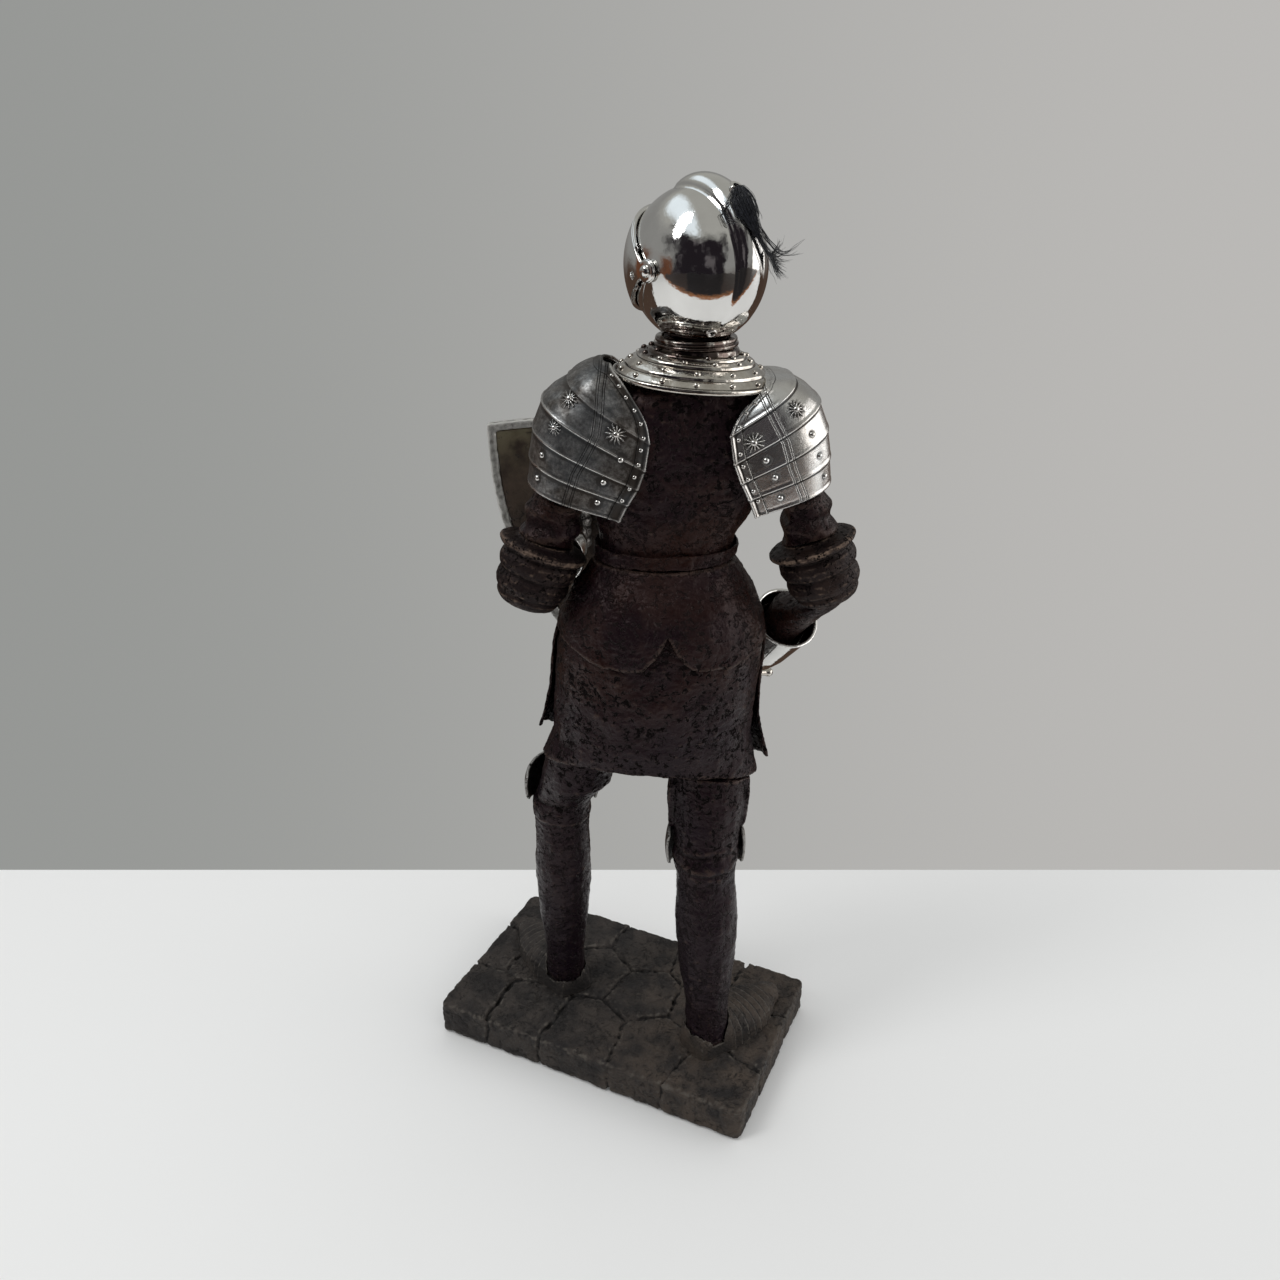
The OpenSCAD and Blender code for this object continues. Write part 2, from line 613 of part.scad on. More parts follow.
// Closed fist: four finger lames round what it holds, joined to the wrist
finger_h = 4.4;
finger_r = 7.2;
module fist(side) {
    p = palm(side);
    w = wrist(side);
    grip = side > 0 ? [0, 0, 1] : unit(palm(-1) - sword_tip);
    bar = side > 0 ? 2 : grip_r;
    color(pewter) figure() difference() {
        union() {
            along(p, p + grip) for (i = [-2:1]) translate([0, 0, i * finger_h])
                rotate_extrude($fn = 48) polygon([[0, 0], [finger_r - 1, 0], [finger_r - 0.2, 0.7], [finger_r, 2],
                    [finger_r - 0.2, finger_h - 0.7], [finger_r - 1, finger_h], [0, finger_h]]);
            loft([round_section(w, fore_dir(side), wrist_r - 0.3), round_section(mix(w, p, 0.35), unit(p - w), wrist_r + 0.6),
                round_section(mix(w, p, 0.58), unit(p - w), wrist_r + 0.2)]);
        }
        along(p, p + grip) cylinder(r = bar + 0.05, h = 80, center = true, $fn = 48);
    }
}

// Shoulder plate of lames, one over the other down the arm, each edge sloping down
// towards the spine; open towards the neck, where its rim arches over the shoulder
module pauldron(side) {
    cols = 16;
    crown = side > 0 ? 31.5 : 26;
    seam = 17.5;
    hem = -17.5;
    inner = 30;
    front = 3.5;
    e = 2.7;
    // By level: slope of the edges, middle, half width, half depth and where the rim runs
    slope = [[hem, 0.1], [-10.5, 0.15], [-2.4, 0.24], [7, 0.33], [seam, 0.4]];
    middle_at = [[hem, -0.4], [-2.4, -0.6], [7, -1], [seam, -1.5]];
    across_at = [[hem, 22.2], [-10.5, 23.4], [-2.4, 24.3], [7, 23.2], [12, 20.4], [seam, 16]];
    deep_at = [[hem, 21.4], [-10.5, 22.3], [-2.4, 23], [7, 23], [seam, 21.4]];
    rim_at = side > 0 ? [[hem, -12.9], [-10.5, -14.3], [-2.4, -16.5], [7, -17.7], [seam, -17.4]]
        : [[hem, -9.2], [-10.5, -10.3], [-2.4, -12], [7, -13.3], [seam, -12.8]];
    rim_up = side > 0 ? [0.5, -1.5, -7.5, -14.5] : [1.4, 3, 0, -9];
    function row(z, d) = [z, lookup(z, slope), lookup(z, middle_at), lookup(z, across_at) + d, lookup(z, deep_at) + d, lookup(z, rim_at)];
    dome_form = [[1, 0, 1.5, 1.5, 4.5], [0.9, 0.1, 1, 4.5, 11], [0.67, 0.25, 0.5, 8, 16.6], [0.35, 0.35, -0.5, 12.4, 19.6]];
    dome = [for (k = [0:3]) let (f = dome_form[k]) [mix(seam, crown, f[0]), f[1], f[2], f[3], f[4], rim_up[k]]];
    function level(k) = mix(seam, hem, pow(k / (pauldron_lames - 1), 0.87));
    lames = [for (k = [0:pauldron_lames - 1])
        each [row(level(k), 0.6), if (k < pauldron_lames - 1) row(level(k) - 0.4, -0.35)]];
    // Angle at which a row meets the rim
    function reach(r) = let (x = r[5] - r[2]) x < 0 ? acos(-pow(-x / inner, e / 2)) : acos(pow(x / r[3], e / 2));
    function at(r, t, d) = let (x = r[2] + ((cos(t) > 0 ? r[3] : inner) + d) * bow(cos(t), 2 / e))
        [x, (r[4] + (t < 0 ? front : 0) * min(1, r[4] / 15) + d) * bow(sin(t), 2 / e),
         r[0] + r[1] * x + (r[4] < 5 ? d : r[4] < 12 ? d * 0.7 : 0)];
    grid = function(d) [for (r = concat(dome, lames)) [for (i = [0:cols]) at(r, reach(r) * (1 - 2 * i / cols), d)]];
    color(pewter) figure() difference() {
        translate(shoulder(side) - [side * 5, 0, 3]) mirror([side > 0 ? 0 : 1, 0, 0]) rotate([0, -12, 0])
            plate(grid(0), grid(-pauldron_t));
        torso_solid(seat_gap);
        collar_room();
    }
}

// ---- Helmet, in its own axes: X along the pivots, the face towards -Y ----

module helmet_axes() {
    figure() translate([neck_at.x, neck_at.y, pivot_z]) rotate([0, 0, body_turn + helmet_turn]) children();
}

// Solid dome turned about the pivots, grown by g
module dome(g = 0) {
    n = 28;
    rotate([0, 90, 0]) rotate_extrude($fn = 96)
        polygon([for (i = [0:n]) let (t = -90 + 180 * i / n) [max(0, (helmet_r + g) * cos(t)), (helmet_w / 2 + g) * sin(t)]]);
}

// Wedge about the pivots from angle a up to angle b, measured from the face upwards
module wedge(a, b, r = 60) {
    steps = 12;
    across(2 * helmet_w) polygon(concat([[0, 0]],
        [for (i = [0:steps]) let (t = a + (b - a) * i / steps) [-r * cos(t), r * sin(t)]]));
}

module pivot_bore(clear) {
    rotate([0, 90, 0]) cylinder(r = pivot_r + clear, h = 3 * helmet_w, center = true, $fn = 48);
}

module above_rim() {
    translate([-60, -60, rim_z - pivot_z]) cube(120);
}

// Point at x across, at an angle about the pivots up from the face, and r out
function about(x, angle, r) = [x, -r * cos(angle), r * sin(angle)];

brow = 36;
cheek = -60;
comb_from = 76;
comb_to = 226;
// The comb rises fast behind the brow and fades into the nape
function comb_at(angle) = let (s = (angle - comb_from) / (comb_to - comb_from)) comb_h * pow(sin(180 * pow(s, 0.55)), 0.6);

module comb() {
    foot = comb_w / 2;
    low = helmet_r * sqrt(1 - pow(comb_w / helmet_w, 2)) - 0.25;
    steps = 20;
    loft([for (i = [0:steps])
        let (angle = comb_from + (comb_to - comb_from) * i / steps, top = helmet_r - 0.3 + comb_at(angle))
        [for (x = [-1, -0.94, -0.8, -0.55, -0.28, 0, 0.28, 0.55, 0.8, 0.94, 1])
            about(x * foot, angle, low + (top - low) * pow(1 - x * x, 0.6)),
         about(foot, angle, low - 0.9), about(-foot, angle, low - 0.9)]]);
}

// Skull plate with the raised comb over its back and the hole for the plume's ferrule
module skull() {
    color(chrome) helmet_axes() intersection() {
        difference() {
            union() {
                dome();
                comb();
            }
            dome(-helmet_t);
            wedge(cheek, brow);
            pivot_bore(0.02);
            along(plume_root(-ferrule_h), plume_root(0)) cylinder(r = ferrule_r + 0.02, h = 20, $fn = 48);
        }
        above_rim();
    }
}

// Dark core that closes the helmet inside and turns on the neck post
module head_core() {
    color("#151515") helmet_axes() difference() {
        intersection() {
            dome(-helmet_t - 0.1);
            above_rim();
            translate([-50, -helmet_r * 0.7, -50]) cube(100);
        }
        translate([0, 0, -40]) cylinder(r = post_r + 0.05, h = 40 + rim_z - pivot_z + post_h, $fn = 48);
        pivot_bore(0.5);
    }
}

// Chin plate under the visor
module bevor() {
    color(chrome) helmet_axes() intersection() {
        difference() {
            dome();
            dome(-helmet_t);
            pivot_bore(0.02);
        }
        wedge(cheek + 0.6, -14);
        above_rim();
    }
}

// Visor with a keeled beak, eye slits and breaths, on ears about the pivots
visor_top = 43;
visor_low = -40;
module beak(s) {
    r = helmet_r + visor_gap + helmet_t;
    tip = r * 1.14 - s;
    intersection() {
        across(2 * helmet_w) polygon([[0, 0], [-(r - s) * cos(33), (r - s) * sin(33)], [-tip, r * 0.02], [-tip * 0.96, -r * 0.2],
            [-(r - s) * cos(37), -(r - s) * sin(37)]]);
        translate([0, 0, -40]) linear_extrude(80)
            polygon([[-helmet_w * 0.3 + s, 0], [-helmet_w * 0.3 + s, -r * 0.8], [0, -tip], [helmet_w * 0.3 - s, -r * 0.8], [helmet_w * 0.3 - s, 0]]);
        // Seen from the front the beak is a kite
        translate([0, -1, 0]) rotate([90, 0, 0]) linear_extrude(2 * tip)
            polygon([[0, (r - s) * sin(35)], [helmet_w * 0.3 - s, r * 0.02], [helmet_w * 0.3 - s, -r * 0.2], [0, -(r - s) * sin(37)],
                [-helmet_w * 0.3 + s, -r * 0.2], [-helmet_w * 0.3 + s, r * 0.02]]);
    }
}

module visor() {
    g = visor_gap + helmet_t;
    ear = 4.2;
    slit_w = helmet_w * 0.3;
    color(chrome) helmet_axes() difference() {
        union() {
            intersection() {
                dome(g);
                union() {
                    wedge(visor_low, visor_top);
                    rotate([0, 90, 0]) cylinder(r = ear, h = 2 * helmet_w, center = true, $fn = 64);
                }
            }
            beak(0);
        }
        dome(visor_gap);
        beak(helmet_t + 0.2);
        pivot_bore(0.05);
        for (s = [-1, 1]) translate([s * (slit_w / 2 + 1.6) - slit_w / 2, -60, helmet_r * 0.3]) cube([slit_w, 50, sight_h]);
        for (s = [-1, 1], i = [0:breaths - 1])
            translate([s * (3 + i * 2.6), -20, -3.5 - (i % 2) * 3]) rotate([90, 0, 0]) cylinder(r = 0.8, h = 40, $fn = 16);
    }
}

// Pins through the visor's ears, headed outside
module visor_pivots() {
    out = helmet_w / 2 + visor_gap + helmet_t + 0.1;
    color(chrome) helmet_axes() for (s = [-1, 1]) mirror([s > 0 ? 0 : 1, 0, 0]) rotate([0, 90, 0])
        translate([0, 0, helmet_w / 2 - helmet_t]) rotate_extrude($fn = 48)
            polygon([[0, 0], [pivot_r, 0], [pivot_r, out - helmet_w / 2 + helmet_t], [pivot_r + 1.3, out - helmet_w / 2 + helmet_t],
                [pivot_r + 1.1, out - helmet_w / 2 + helmet_t + 0.9], [pivot_r * 0.6, out - helmet_w / 2 + helmet_t + 1.7],
                [0, out - helmet_w / 2 + helmet_t + 1.7]]);
}

// Ferrule for the plume, let into the comb's crest
plume_angle = 124;
ferrule_r = 2;
ferrule_h = 2.4;
function plume_root(out) = about(0, plume_angle, helmet_r + comb_at(plume_angle) + out);
module plume_holder() {
    color(chrome) helmet_axes() along(plume_root(-ferrule_h), plume_root(0)) rotate_extrude($fn = 48)
        polygon([[1.3, 0], [ferrule_r, 0], [ferrule_r, ferrule_h + 0.3], [ferrule_r + 0.4, ferrule_h + 0.5],
            [ferrule_r + 0.2, ferrule_h + 0.9], [1.3, ferrule_h + 0.9]]);
}

// Tail of hair from the ferrule down along the crest, a soft flat clump that falls
// to the right at its end
module plume() {
    n = 14;
    turn = plume_l / (helmet_r + comb_h) * 57.3;
    back = about(0, plume_angle + 90, 1);
    rooted = [for (f = [[-1.9, 1.2], [0.6, 1.2], [1.6, 1.3]])
        [for (i = [0:n - 1]) plume_root(f[0]) + f[1] * [cos(360 * i / n), back.y * sin(360 * i / n), back.z * sin(360 * i / n)]]];
    // Share of the tail, sideways place, height over the crest, half width, half thickness
    tail = [[0.1, 0, 1.7, 1.6, 1.2], [0.22, 0, 1.5, 2, 1.25], [0.4, -0.1, 1.5, 2.3, 1.3], [0.58, -0.6, 1.6, 2.4, 1.3], [0.72, -1.9, 1.9, 2.3, 1.2],
        [0.85, -4.2, 2.1, 2, 1.1], [0.95, -6.8, 2.5, 1.4, 0.8], [1, -8.4, 3, 0.5, 0.3]];
    fallen = [for (f = tail) let (angle = plume_angle + turn * f[0], r = helmet_r + comb_at(angle) + f[2])
        [for (i = [0:n - 1]) about(f[1] + f[3] * cos(360 * i / n), angle, r - f[4] * sin(360 * i / n))]];
    color("#14161f") helmet_axes() loft(concat(rooted, fallen));
}

// ---- Shield ----

shield_at = [37, palm(1).y - 10, elbow(1).z - 1];
// Half width of the shield at a share s of the way from its top to its tip
function heater(s) = shield_w / 2 * (1 - pow(s, 2.4));
function bulge(x) = 7 * pow(2 * x / shield_w, 2);
rows = 14;
function row_s(j) = 1 - pow(1 - j / rows, 1.25);
function inner_w(s) = max(0, heater(s) - rim_w * (1 + 0.9 * pow(s, 4)));
function board_s(j) = rim_w / shield_h + row_s(j) * (1 - 2.6 * rim_w / shield_h);
// A point of the board: share s down, x from the middle, y off the face
function on_shield(x, s, y) = [x, bulge(x) + y, shield_h * (0.5 - s)];

module shield_axes() {
    figure() translate(shield_at) rotate([0, 0, 4]) children();
}

module shield_board() {
    cols = 6;
    grid = function(y) [for (j = [0:rows]) [for (i = [0:cols])
        let (w = max(1.2, inner_w(board_s(j)))) on_shield(w * (1 - 2 * i / cols), board_s(j), y)]];
    color("#33261f") shield_axes() plate(grid(-shield_t / 2), grid(shield_t / 2));
}

// Rim: a thicker band all round the board
module shield_rim() {
    t = shield_t / 2 + 0.7;
    cols = 10;
    left = [for (j = [0:rows]) [board_s(j), row_s(j), -1]];
    right = [for (j = [rows:-1:0]) [board_s(j), row_s(j), 1]];
    // Inner and outer point of each station round the edge
    down = [for (p = concat(left, right)) let (w = max(1.2, inner_w(p[0])))
        [[p[2] * w, p[0]], [p[2] * max(p[1] == 1 ? 0.15 : 0, heater(p[1])), p[1]]]];
    top = [for (i = [cols - 1:-1:1]) let (f = 2 * i / cols - 1) [[f * inner_w(board_s(0)), board_s(0)], [f * heater(0), 0]]];
    path = concat(down, top);
    loop = [for (k = [len(path) - 1:-1:0]) path[k]];
    color(pewter) shield_axes() ring_shell(
        [for (k = [0:2]) [for (q = loop) k == 0 ? on_shield(q[0].x, q[0].y, t) : k == 1 ? on_shield(q[1].x, q[1].y, t)
            : on_shield(q[1].x, q[1].y, -t)]],
        [for (k = [0:2]) [for (q = loop) on_shield(q[0].x, q[0].y, t - k * t)]]);
}

// Bar the left hand holds, on two feet against the board
module shield_grip() {
    foot = 3.4;
    bar = 4 * finger_h + 0.6 + 2 * foot;
    reach = palm(1).y - shield_at.y - shield_t / 2 - 0.4;
    color("#4b3a2a") figure() translate(palm(1)) union() {
        translate([0, 0, -bar / 2]) cylinder(r = 2, h = bar, $fn = 48);
        for (z = [-bar / 2, bar / 2 - foot]) translate([-2.4, -reach, z]) cube([4.8, reach + 1.5, foot]);
    }
}

// ---- Sword ----

sword_tip = [-14, -36, base_h + 0.2];
function sword_len() = norm(palm(-1) - sword_tip);
module sword_axes() {
    along(sword_tip, palm(-1)) children();
}

guard_z = sword_len() - 2.4 * finger_h;
module sword_blade() {
    b = blade_w / 2;
    t = blade_t / 2;
    function cut(z, s) = [[-b * s, 0, z], [0, -t * s, z], [b * s, 0, z], [0, t * s, z]];
    color(chrome) figure() sword_axes() loft([cut(0, 0.08), cut(7, 0.62), cut(guard_z * 0.5, 0.85), cut(guard_z - 1.6, 1)]);
}

module sword_guard() {
    color(chrome) figure() sword_axes() difference() {
        translate([0, 0, guard_z]) union() {
            translate([-2.6, -2.6, -1.6]) cube([5.2, 5.2, 3.2]);
            rotate([0, 90, 0]) cylinder(r = 1.5, h = guard_l, center = true, $fn = 32);
            for (s = [-1, 1]) translate([s * guard_l / 2, 0, 0]) sphere(r = 2.1, $fn = 32);
        }
        translate([0, 0, guard_z]) cylinder(r = grip_r, h = 10, $fn = 48);
    }
}

grip_l = 4 * finger_h + 3;
module sword_grip() {
    color("#3a2a20") figure() sword_axes() translate([0, 0, guard_z]) cylinder(r = grip_r, h = grip_l, $fn = 48);
}

module sword_pommel() {
    color(chrome) figure() sword_axes() translate([0, 0, guard_z + grip_l]) rotate_extrude($fn = 64)
        polygon([[0, 0], [2.6, 0], [3.9, 1.4], [4.3, 3.4], [3.9, 5.4], [2.6, 6.8], [1.2, 7.2], [1, 8], [0, 8.2]]);
}

// ---- One line for each piece ----

plinth();
felt();
sabaton(1);  // left_sabaton
sabaton(-1);  // right_sabaton
greave(1);  // left_greave
greave(-1);  // right_greave
poleyn(1);  // left_poleyn
poleyn(-1);  // right_poleyn
cuisse(1);  // left_cuisse
cuisse(-1);  // right_cuisse
skirt();
apron();
culet();
belt();
backplate();
breastplate();
neck_post();
gorget();
neck_lames();
pauldron(1);  // left_pauldron
pauldron(-1);  // right_pauldron
upper_arm(1);  // left_upper_arm
upper_arm(-1);  // right_upper_arm
couter(1);  // left_couter
couter(-1);  // right_couter
forearm(1);  // left_forearm
forearm(-1);  // right_forearm
gauntlet(1);  // left_gauntlet
gauntlet(-1);  // right_gauntlet
fist(1);  // left_fist
fist(-1);  // right_fist
skull();
head_core();
bevor();
visor();
visor_pivots();
plume_holder();
plume();
shield_board();
shield_rim();
shield_grip();
sword_blade();
sword_guard();
sword_grip();
sword_pommel();
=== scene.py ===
import random
from math import atan2, copysign, cos, degrees, exp, hypot, pi, radians, sin, sqrt

import bmesh
import bpy
import numpy as np
from mathutils import Matrix, Vector
from mathutils.noise import noise


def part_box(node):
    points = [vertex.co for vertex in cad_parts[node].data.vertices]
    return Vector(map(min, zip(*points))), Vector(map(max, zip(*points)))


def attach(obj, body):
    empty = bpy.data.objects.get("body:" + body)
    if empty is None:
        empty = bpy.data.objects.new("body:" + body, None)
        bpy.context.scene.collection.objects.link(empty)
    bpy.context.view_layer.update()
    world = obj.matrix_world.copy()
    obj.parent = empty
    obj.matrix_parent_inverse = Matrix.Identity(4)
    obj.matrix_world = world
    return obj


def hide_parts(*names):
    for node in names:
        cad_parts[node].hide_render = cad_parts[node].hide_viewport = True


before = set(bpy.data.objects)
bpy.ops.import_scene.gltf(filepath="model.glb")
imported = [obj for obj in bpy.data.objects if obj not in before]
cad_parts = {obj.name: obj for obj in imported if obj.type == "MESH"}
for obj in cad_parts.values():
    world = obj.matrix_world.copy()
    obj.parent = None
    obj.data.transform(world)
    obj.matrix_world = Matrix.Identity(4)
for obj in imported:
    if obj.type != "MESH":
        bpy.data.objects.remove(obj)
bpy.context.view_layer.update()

# ---- Camera ----
# It stands behind the figure's right shoulder, a little above the helmet, and looks
# down at the middle of the back.
camera = bpy.data.objects.new("camera", bpy.data.cameras.new("camera"))
bpy.context.scene.collection.objects.link(camera)
TILT, LOOK = radians(63.77), radians(204.95)
camera.location = (-0.1761, 0.3605, 0.4036)
camera.rotation_euler = (TILT, 0, LOOK)
camera.data.sensor_width = 36.0
camera.data.lens = 30.94
camera.data.clip_start = 0.01
bpy.context.scene.camera = camera
bpy.context.scene.view_settings.view_transform = "Standard"

# ---- Plinth ----
# A slab of rough paving flags, cast in resin filled with stone powder and left dull. The
# figure's feet are cast on it, and the felt is glued underneath.


def fill(socket, value):
    """Links the socket to another one, or sets its number or colour."""
    if isinstance(value, bpy.types.NodeSocket):
        socket.id_data.links.new(value, socket)
    else:
        socket.default_value = value


def node(tree, kind, inputs=None, **settings):
    """A shader node with its inputs linked or set."""
    made = tree.nodes.new("ShaderNode" + kind)
    for name, value in settings.items():
        setattr(made, name, value)
    for name, value in (inputs or {}).items():
        fill(made.inputs[name], value)
    return made


def math_of(operation):
    """That Math node, as a function of numbers and sockets."""
    def result(*values):
        tree = next(v.id_data for v in values if isinstance(v, bpy.types.NodeSocket))
        return node(tree, "Math", dict(enumerate(values)), operation=operation).outputs[0]
    return result


times, plus, minus, over = (math_of(kind) for kind in ("MULTIPLY", "ADD", "SUBTRACT", "DIVIDE"))
most, unsigned, times_plus = (math_of(kind) for kind in ("MAXIMUM", "ABSOLUTE", "MULTIPLY_ADD"))


def ramp(value, low, high, to_low=0.0, to_high=1.0):
    """A soft step from one level to the other as the value goes from low to high."""
    ends = {"Value": value, "From Min": low, "From Max": high, "To Min": to_low, "To Max": to_high}
    return node(value.id_data, "MapRange", ends, interpolation_type="SMOOTHSTEP").outputs["Result"]


def blend(mask, a, b):
    """Colour a where the mask is 0 and b where it is 1."""
    made = node(mask.id_data, "Mix", {"Factor": mask}, data_type="RGBA")
    for socket, value in ((made.inputs[6], a), (made.inputs[7], b)):
        fill(socket, (*value, 1) if isinstance(value, tuple) else value)
    return made.outputs[2]


def layered(colour, *coats):
    """The colour under its coats, each a mask and a colour, laid on in turn."""
    for mask, coat in coats:
        colour = blend(mask, colour, coat)
    return colour


def wander(at, scale, detail, rough=0.5):
    """Noise from 0 to 1 over that place."""
    inputs = {"Vector": at, "Scale": scale, "Detail": detail, "Roughness": rough}
    return node(at.id_data, "TexNoise", inputs).outputs["Fac"]


def place_on(tree):
    """Where a point lies on its own piece, in metres."""
    return node(tree, "TexCoord").outputs["Object"]


def along(place, axis):
    return node(place.id_data, "SeparateXYZ", {0: place}).outputs[axis]


def kept_on(tree, name):
    """A number kept with the points of the mesh."""
    return node(tree, "Attribute", attribute_name=name).outputs["Fac"]


def effect(name, inputs, outputs):
    """An empty shader node group, with its input and output nodes."""
    group = bpy.data.node_groups.new(name, "ShaderNodeTree")
    add = group.interface.new_socket
    for label, value in inputs.items():
        add(label, in_out="INPUT", socket_type="NodeSocketFloat").default_value = value
    for label in outputs:
        add(label, in_out="OUTPUT", socket_type="NodeSocketFloat")
    given, out = group.nodes.new("NodeGroupInput"), group.nodes.new("NodeGroupOutput")
    return group, given.outputs, out.inputs


def use(tree, group, **values):
    return node(tree, "Group", values, node_tree=group).outputs


def finish_of(name, **constants):
    """A material, with the constants set on its own shader."""
    material = bpy.data.materials.new(name)
    material.use_nodes = True
    shader = material.node_tree.nodes["Principled BSDF"]
    for label, value in constants.items():
        shader.inputs[label.replace("_", " ")].default_value = value
    return material, material.node_tree, shader.inputs


def surface(shader, colour, roughness, relief=None, depth=0.0):
    """The paint's colour, its roughness, and its relief of that depth in metres."""
    fill(shader["Base Color"], colour)
    fill(shader["Roughness"], roughness)
    if relief is not None:
        bump = node(relief.id_data, "Bump", {"Strength": 1.0, "Distance": depth, "Height": relief})
        fill(shader["Normal"], bump.outputs[0])


# Short crooked pits of a rough casting, in patches, with its fine grain and its broad
# light and dark
pitting, given, out = effect("pitting", {"Size": 1.0, "Amount": 0.5}, ("Pits", "Grain", "Tone"))
where = place_on(pitting)
per_mm = over(1000.0, given["Size"])
crooked = wander(where, times(per_mm, 0.3), 3.0, 0.55)
cutting = wander(where, times(per_mm, 0.55), 1.0, 0.55)
patch = wander(where, 95.0, 2.0, 0.55)
near = ramp(unsigned(minus(crooked, 0.47)), 0.06, 0.02)
short = ramp(cutting, 0.49, 0.56)
there = ramp(plus(patch, times(given["Amount"], 0.2)), 0.56, 0.64)
fill(out["Pits"], times(times(near, short), there))
fill(out["Grain"], wander(where, times(per_mm, 0.8), 6.0, 0.62))
fill(out["Tone"], wander(where, 70.0, 5.0, 0.6))

# Wear on raised places, from the piece's own convexity and broken up by a fine noise
edge_wear, given, out = effect("edge_wear", {"From": 0.55, "To": 0.8}, ("Worn", "Hollow"))
raised = kept_on(edge_wear, "wear")
where = place_on(edge_wear)
broken = wander(where, 420.0, 5.0, 0.65)
rubbed = times_plus(minus(broken, 0.5), 0.5, raised)
fill(out["Worn"], ramp(rubbed, given["From"], given["To"]))
fill(out["Hollow"], ramp(raised, 0.45, 0.2))

stone_paint, tree, shader = finish_of("flag_stone", Specular_IOR_Level=0.3)
pits = use(tree, pitting, Size=1.1, Amount=0.4)
worn = use(tree, edge_wear, From=0.6, To=0.95)
# The stone is paler towards -X, where its tone is high
paler_towards_minus_x = ramp(along(place_on(tree), "X"), 0.02, -0.05)
colour = layered(blend(ramp(pits["Tone"], 0.35, 0.68), (0.017, 0.0145, 0.014), (0.044, 0.036, 0.031)),
                 (times(paler_towards_minus_x, ramp(pits["Tone"], 0.3, 0.7)), (0.062, 0.046, 0.035)),
                 (worn["Worn"], (0.085, 0.074, 0.063)),
                 (most(times(worn["Hollow"], 0.85), times(pits["Pits"], 0.5)), (0.008, 0.007, 0.0065)))
surface(shader, colour, ramp(pits["Grain"], 0.3, 0.7, 0.55, 0.85),
        times_plus(pits["Pits"], -0.5, pits["Grain"]), 0.0009)


def shown(name, bm):
    """An object in the scene with that mesh; the bmesh ends here."""
    mesh = bpy.data.meshes.new(name)
    bm.to_mesh(mesh)
    bm.free()
    made = bpy.data.objects.new(name, mesh)
    bpy.context.scene.collection.objects.link(made)
    return made


def worked(bm, kind, **settings):
    """The bmesh as a modifier leaves it, attributes kept."""
    blank = shown("blank", bm)
    tool = blank.modifiers.new(kind, kind)
    for name, value in settings.items():
        setattr(tool, name, value)
    depsgraph = bpy.context.evaluated_depsgraph_get()
    made = bpy.data.meshes.new_from_object(blank.evaluated_get(depsgraph))
    bm = bmesh.new()
    bm.from_mesh(made)
    for used in (blank.data, made):
        bpy.data.meshes.remove(used)
    return bm


def soften(bm, verts):
    bmesh.ops.smooth_vert(bm, verts=verts, factor=0.5,
                          use_axis_x=True, use_axis_y=True, use_axis_z=True)


def skin(nodes, voxel, rounds, lump):
    """One closed skin over CAD solids, remeshed, softened and roughened, in a bmesh."""
    bm = bmesh.new()
    for name in nodes:
        bm.from_mesh(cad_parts[name].data)
    bmesh.ops.remove_doubles(bm, verts=bm.verts, dist=2e-6)
    bm = worked(bm, "REMESH", mode="VOXEL", voxel_size=voxel * 0.001)
    for _ in range(rounds):
        soften(bm, bm.verts)
    if lump:
        bm.normal_update()
        for v in bm.verts:
            v.co += v.normal * (lump(v.co * 1000) * 0.001)
    return bm


def convexity(mesh, reach, gain):
    """How far each point stands out from the ones around it, as the attribute wear."""
    n = len(mesh.vertices)
    co, normal = np.empty(n * 3), np.empty(n * 3)
    mesh.vertices.foreach_get("co", co)
    mesh.vertices.foreach_get("normal", normal)
    ends = np.empty(len(mesh.edges) * 2, int)
    mesh.edges.foreach_get("vertices", ends)
    co, normal, ends = co.reshape(-1, 3), normal.reshape(-1, 3), ends.reshape(-1, 2)
    a, b = np.concatenate((ends, ends[:, ::-1])).T
    count = np.maximum(np.bincount(a, minlength=n), 1)

    def around(values):
        return np.stack([np.bincount(a, values[b, k], n) / count for k in range(values.shape[1])], 1)

    far = co
    for _ in range(reach):
        far = 0.5 * (far + around(far))
    out = (((co - far) * normal).sum(1) * 1000)[:, None]
    out = 0.5 * (out + around(out))
    wear = mesh.attributes.new("wear", "FLOAT", "POINT")
    wear.data.foreach_set("value", np.clip(0.5 + gain * out[:, 0], 0, 1).astype(np.float32))


def piece(name, bm, material, body, replaced, wear):
    """The object for a finished bmesh, in its material, riding on its body."""
    made = shown(name, bm)
    made.data.polygons.foreach_set("use_smooth", [True] * len(made.data.polygons))
    convexity(made.data, *wear)
    made.data.materials.append(material)
    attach(made, body)
    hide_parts(*replaced)


def cast(name, nodes, paint, voxel, rounds, wear, lump=None):
    """A piece of the figure that is one skin over those CAD nodes."""
    piece(name, skin(nodes, voxel, rounds, lump), paint, "statue", nodes, wear)


# Sizes in mm: the slab, and the half widths of a joint's raised filling and of its cut
LENGTH, DEPTH = 152.4, 88.0
FILLING, CUT = 1.3, 0.55
FLAGS = [(0.1, 0.16), (0.3, 0.12), (0.52, 0.15), (0.73, 0.12), (0.91, 0.17), (0.06, 0.5), (0.24, 0.42),
         (0.44, 0.47), (0.62, 0.4), (0.81, 0.48), (0.95, 0.46), (0.12, 0.84), (0.33, 0.77), (0.54, 0.82),
         (0.75, 0.8), (0.93, 0.82)]
FLAGS = [Vector((LENGTH * (x - 0.5), DEPTH * (y - 0.5), 0)) for x, y in FLAGS]


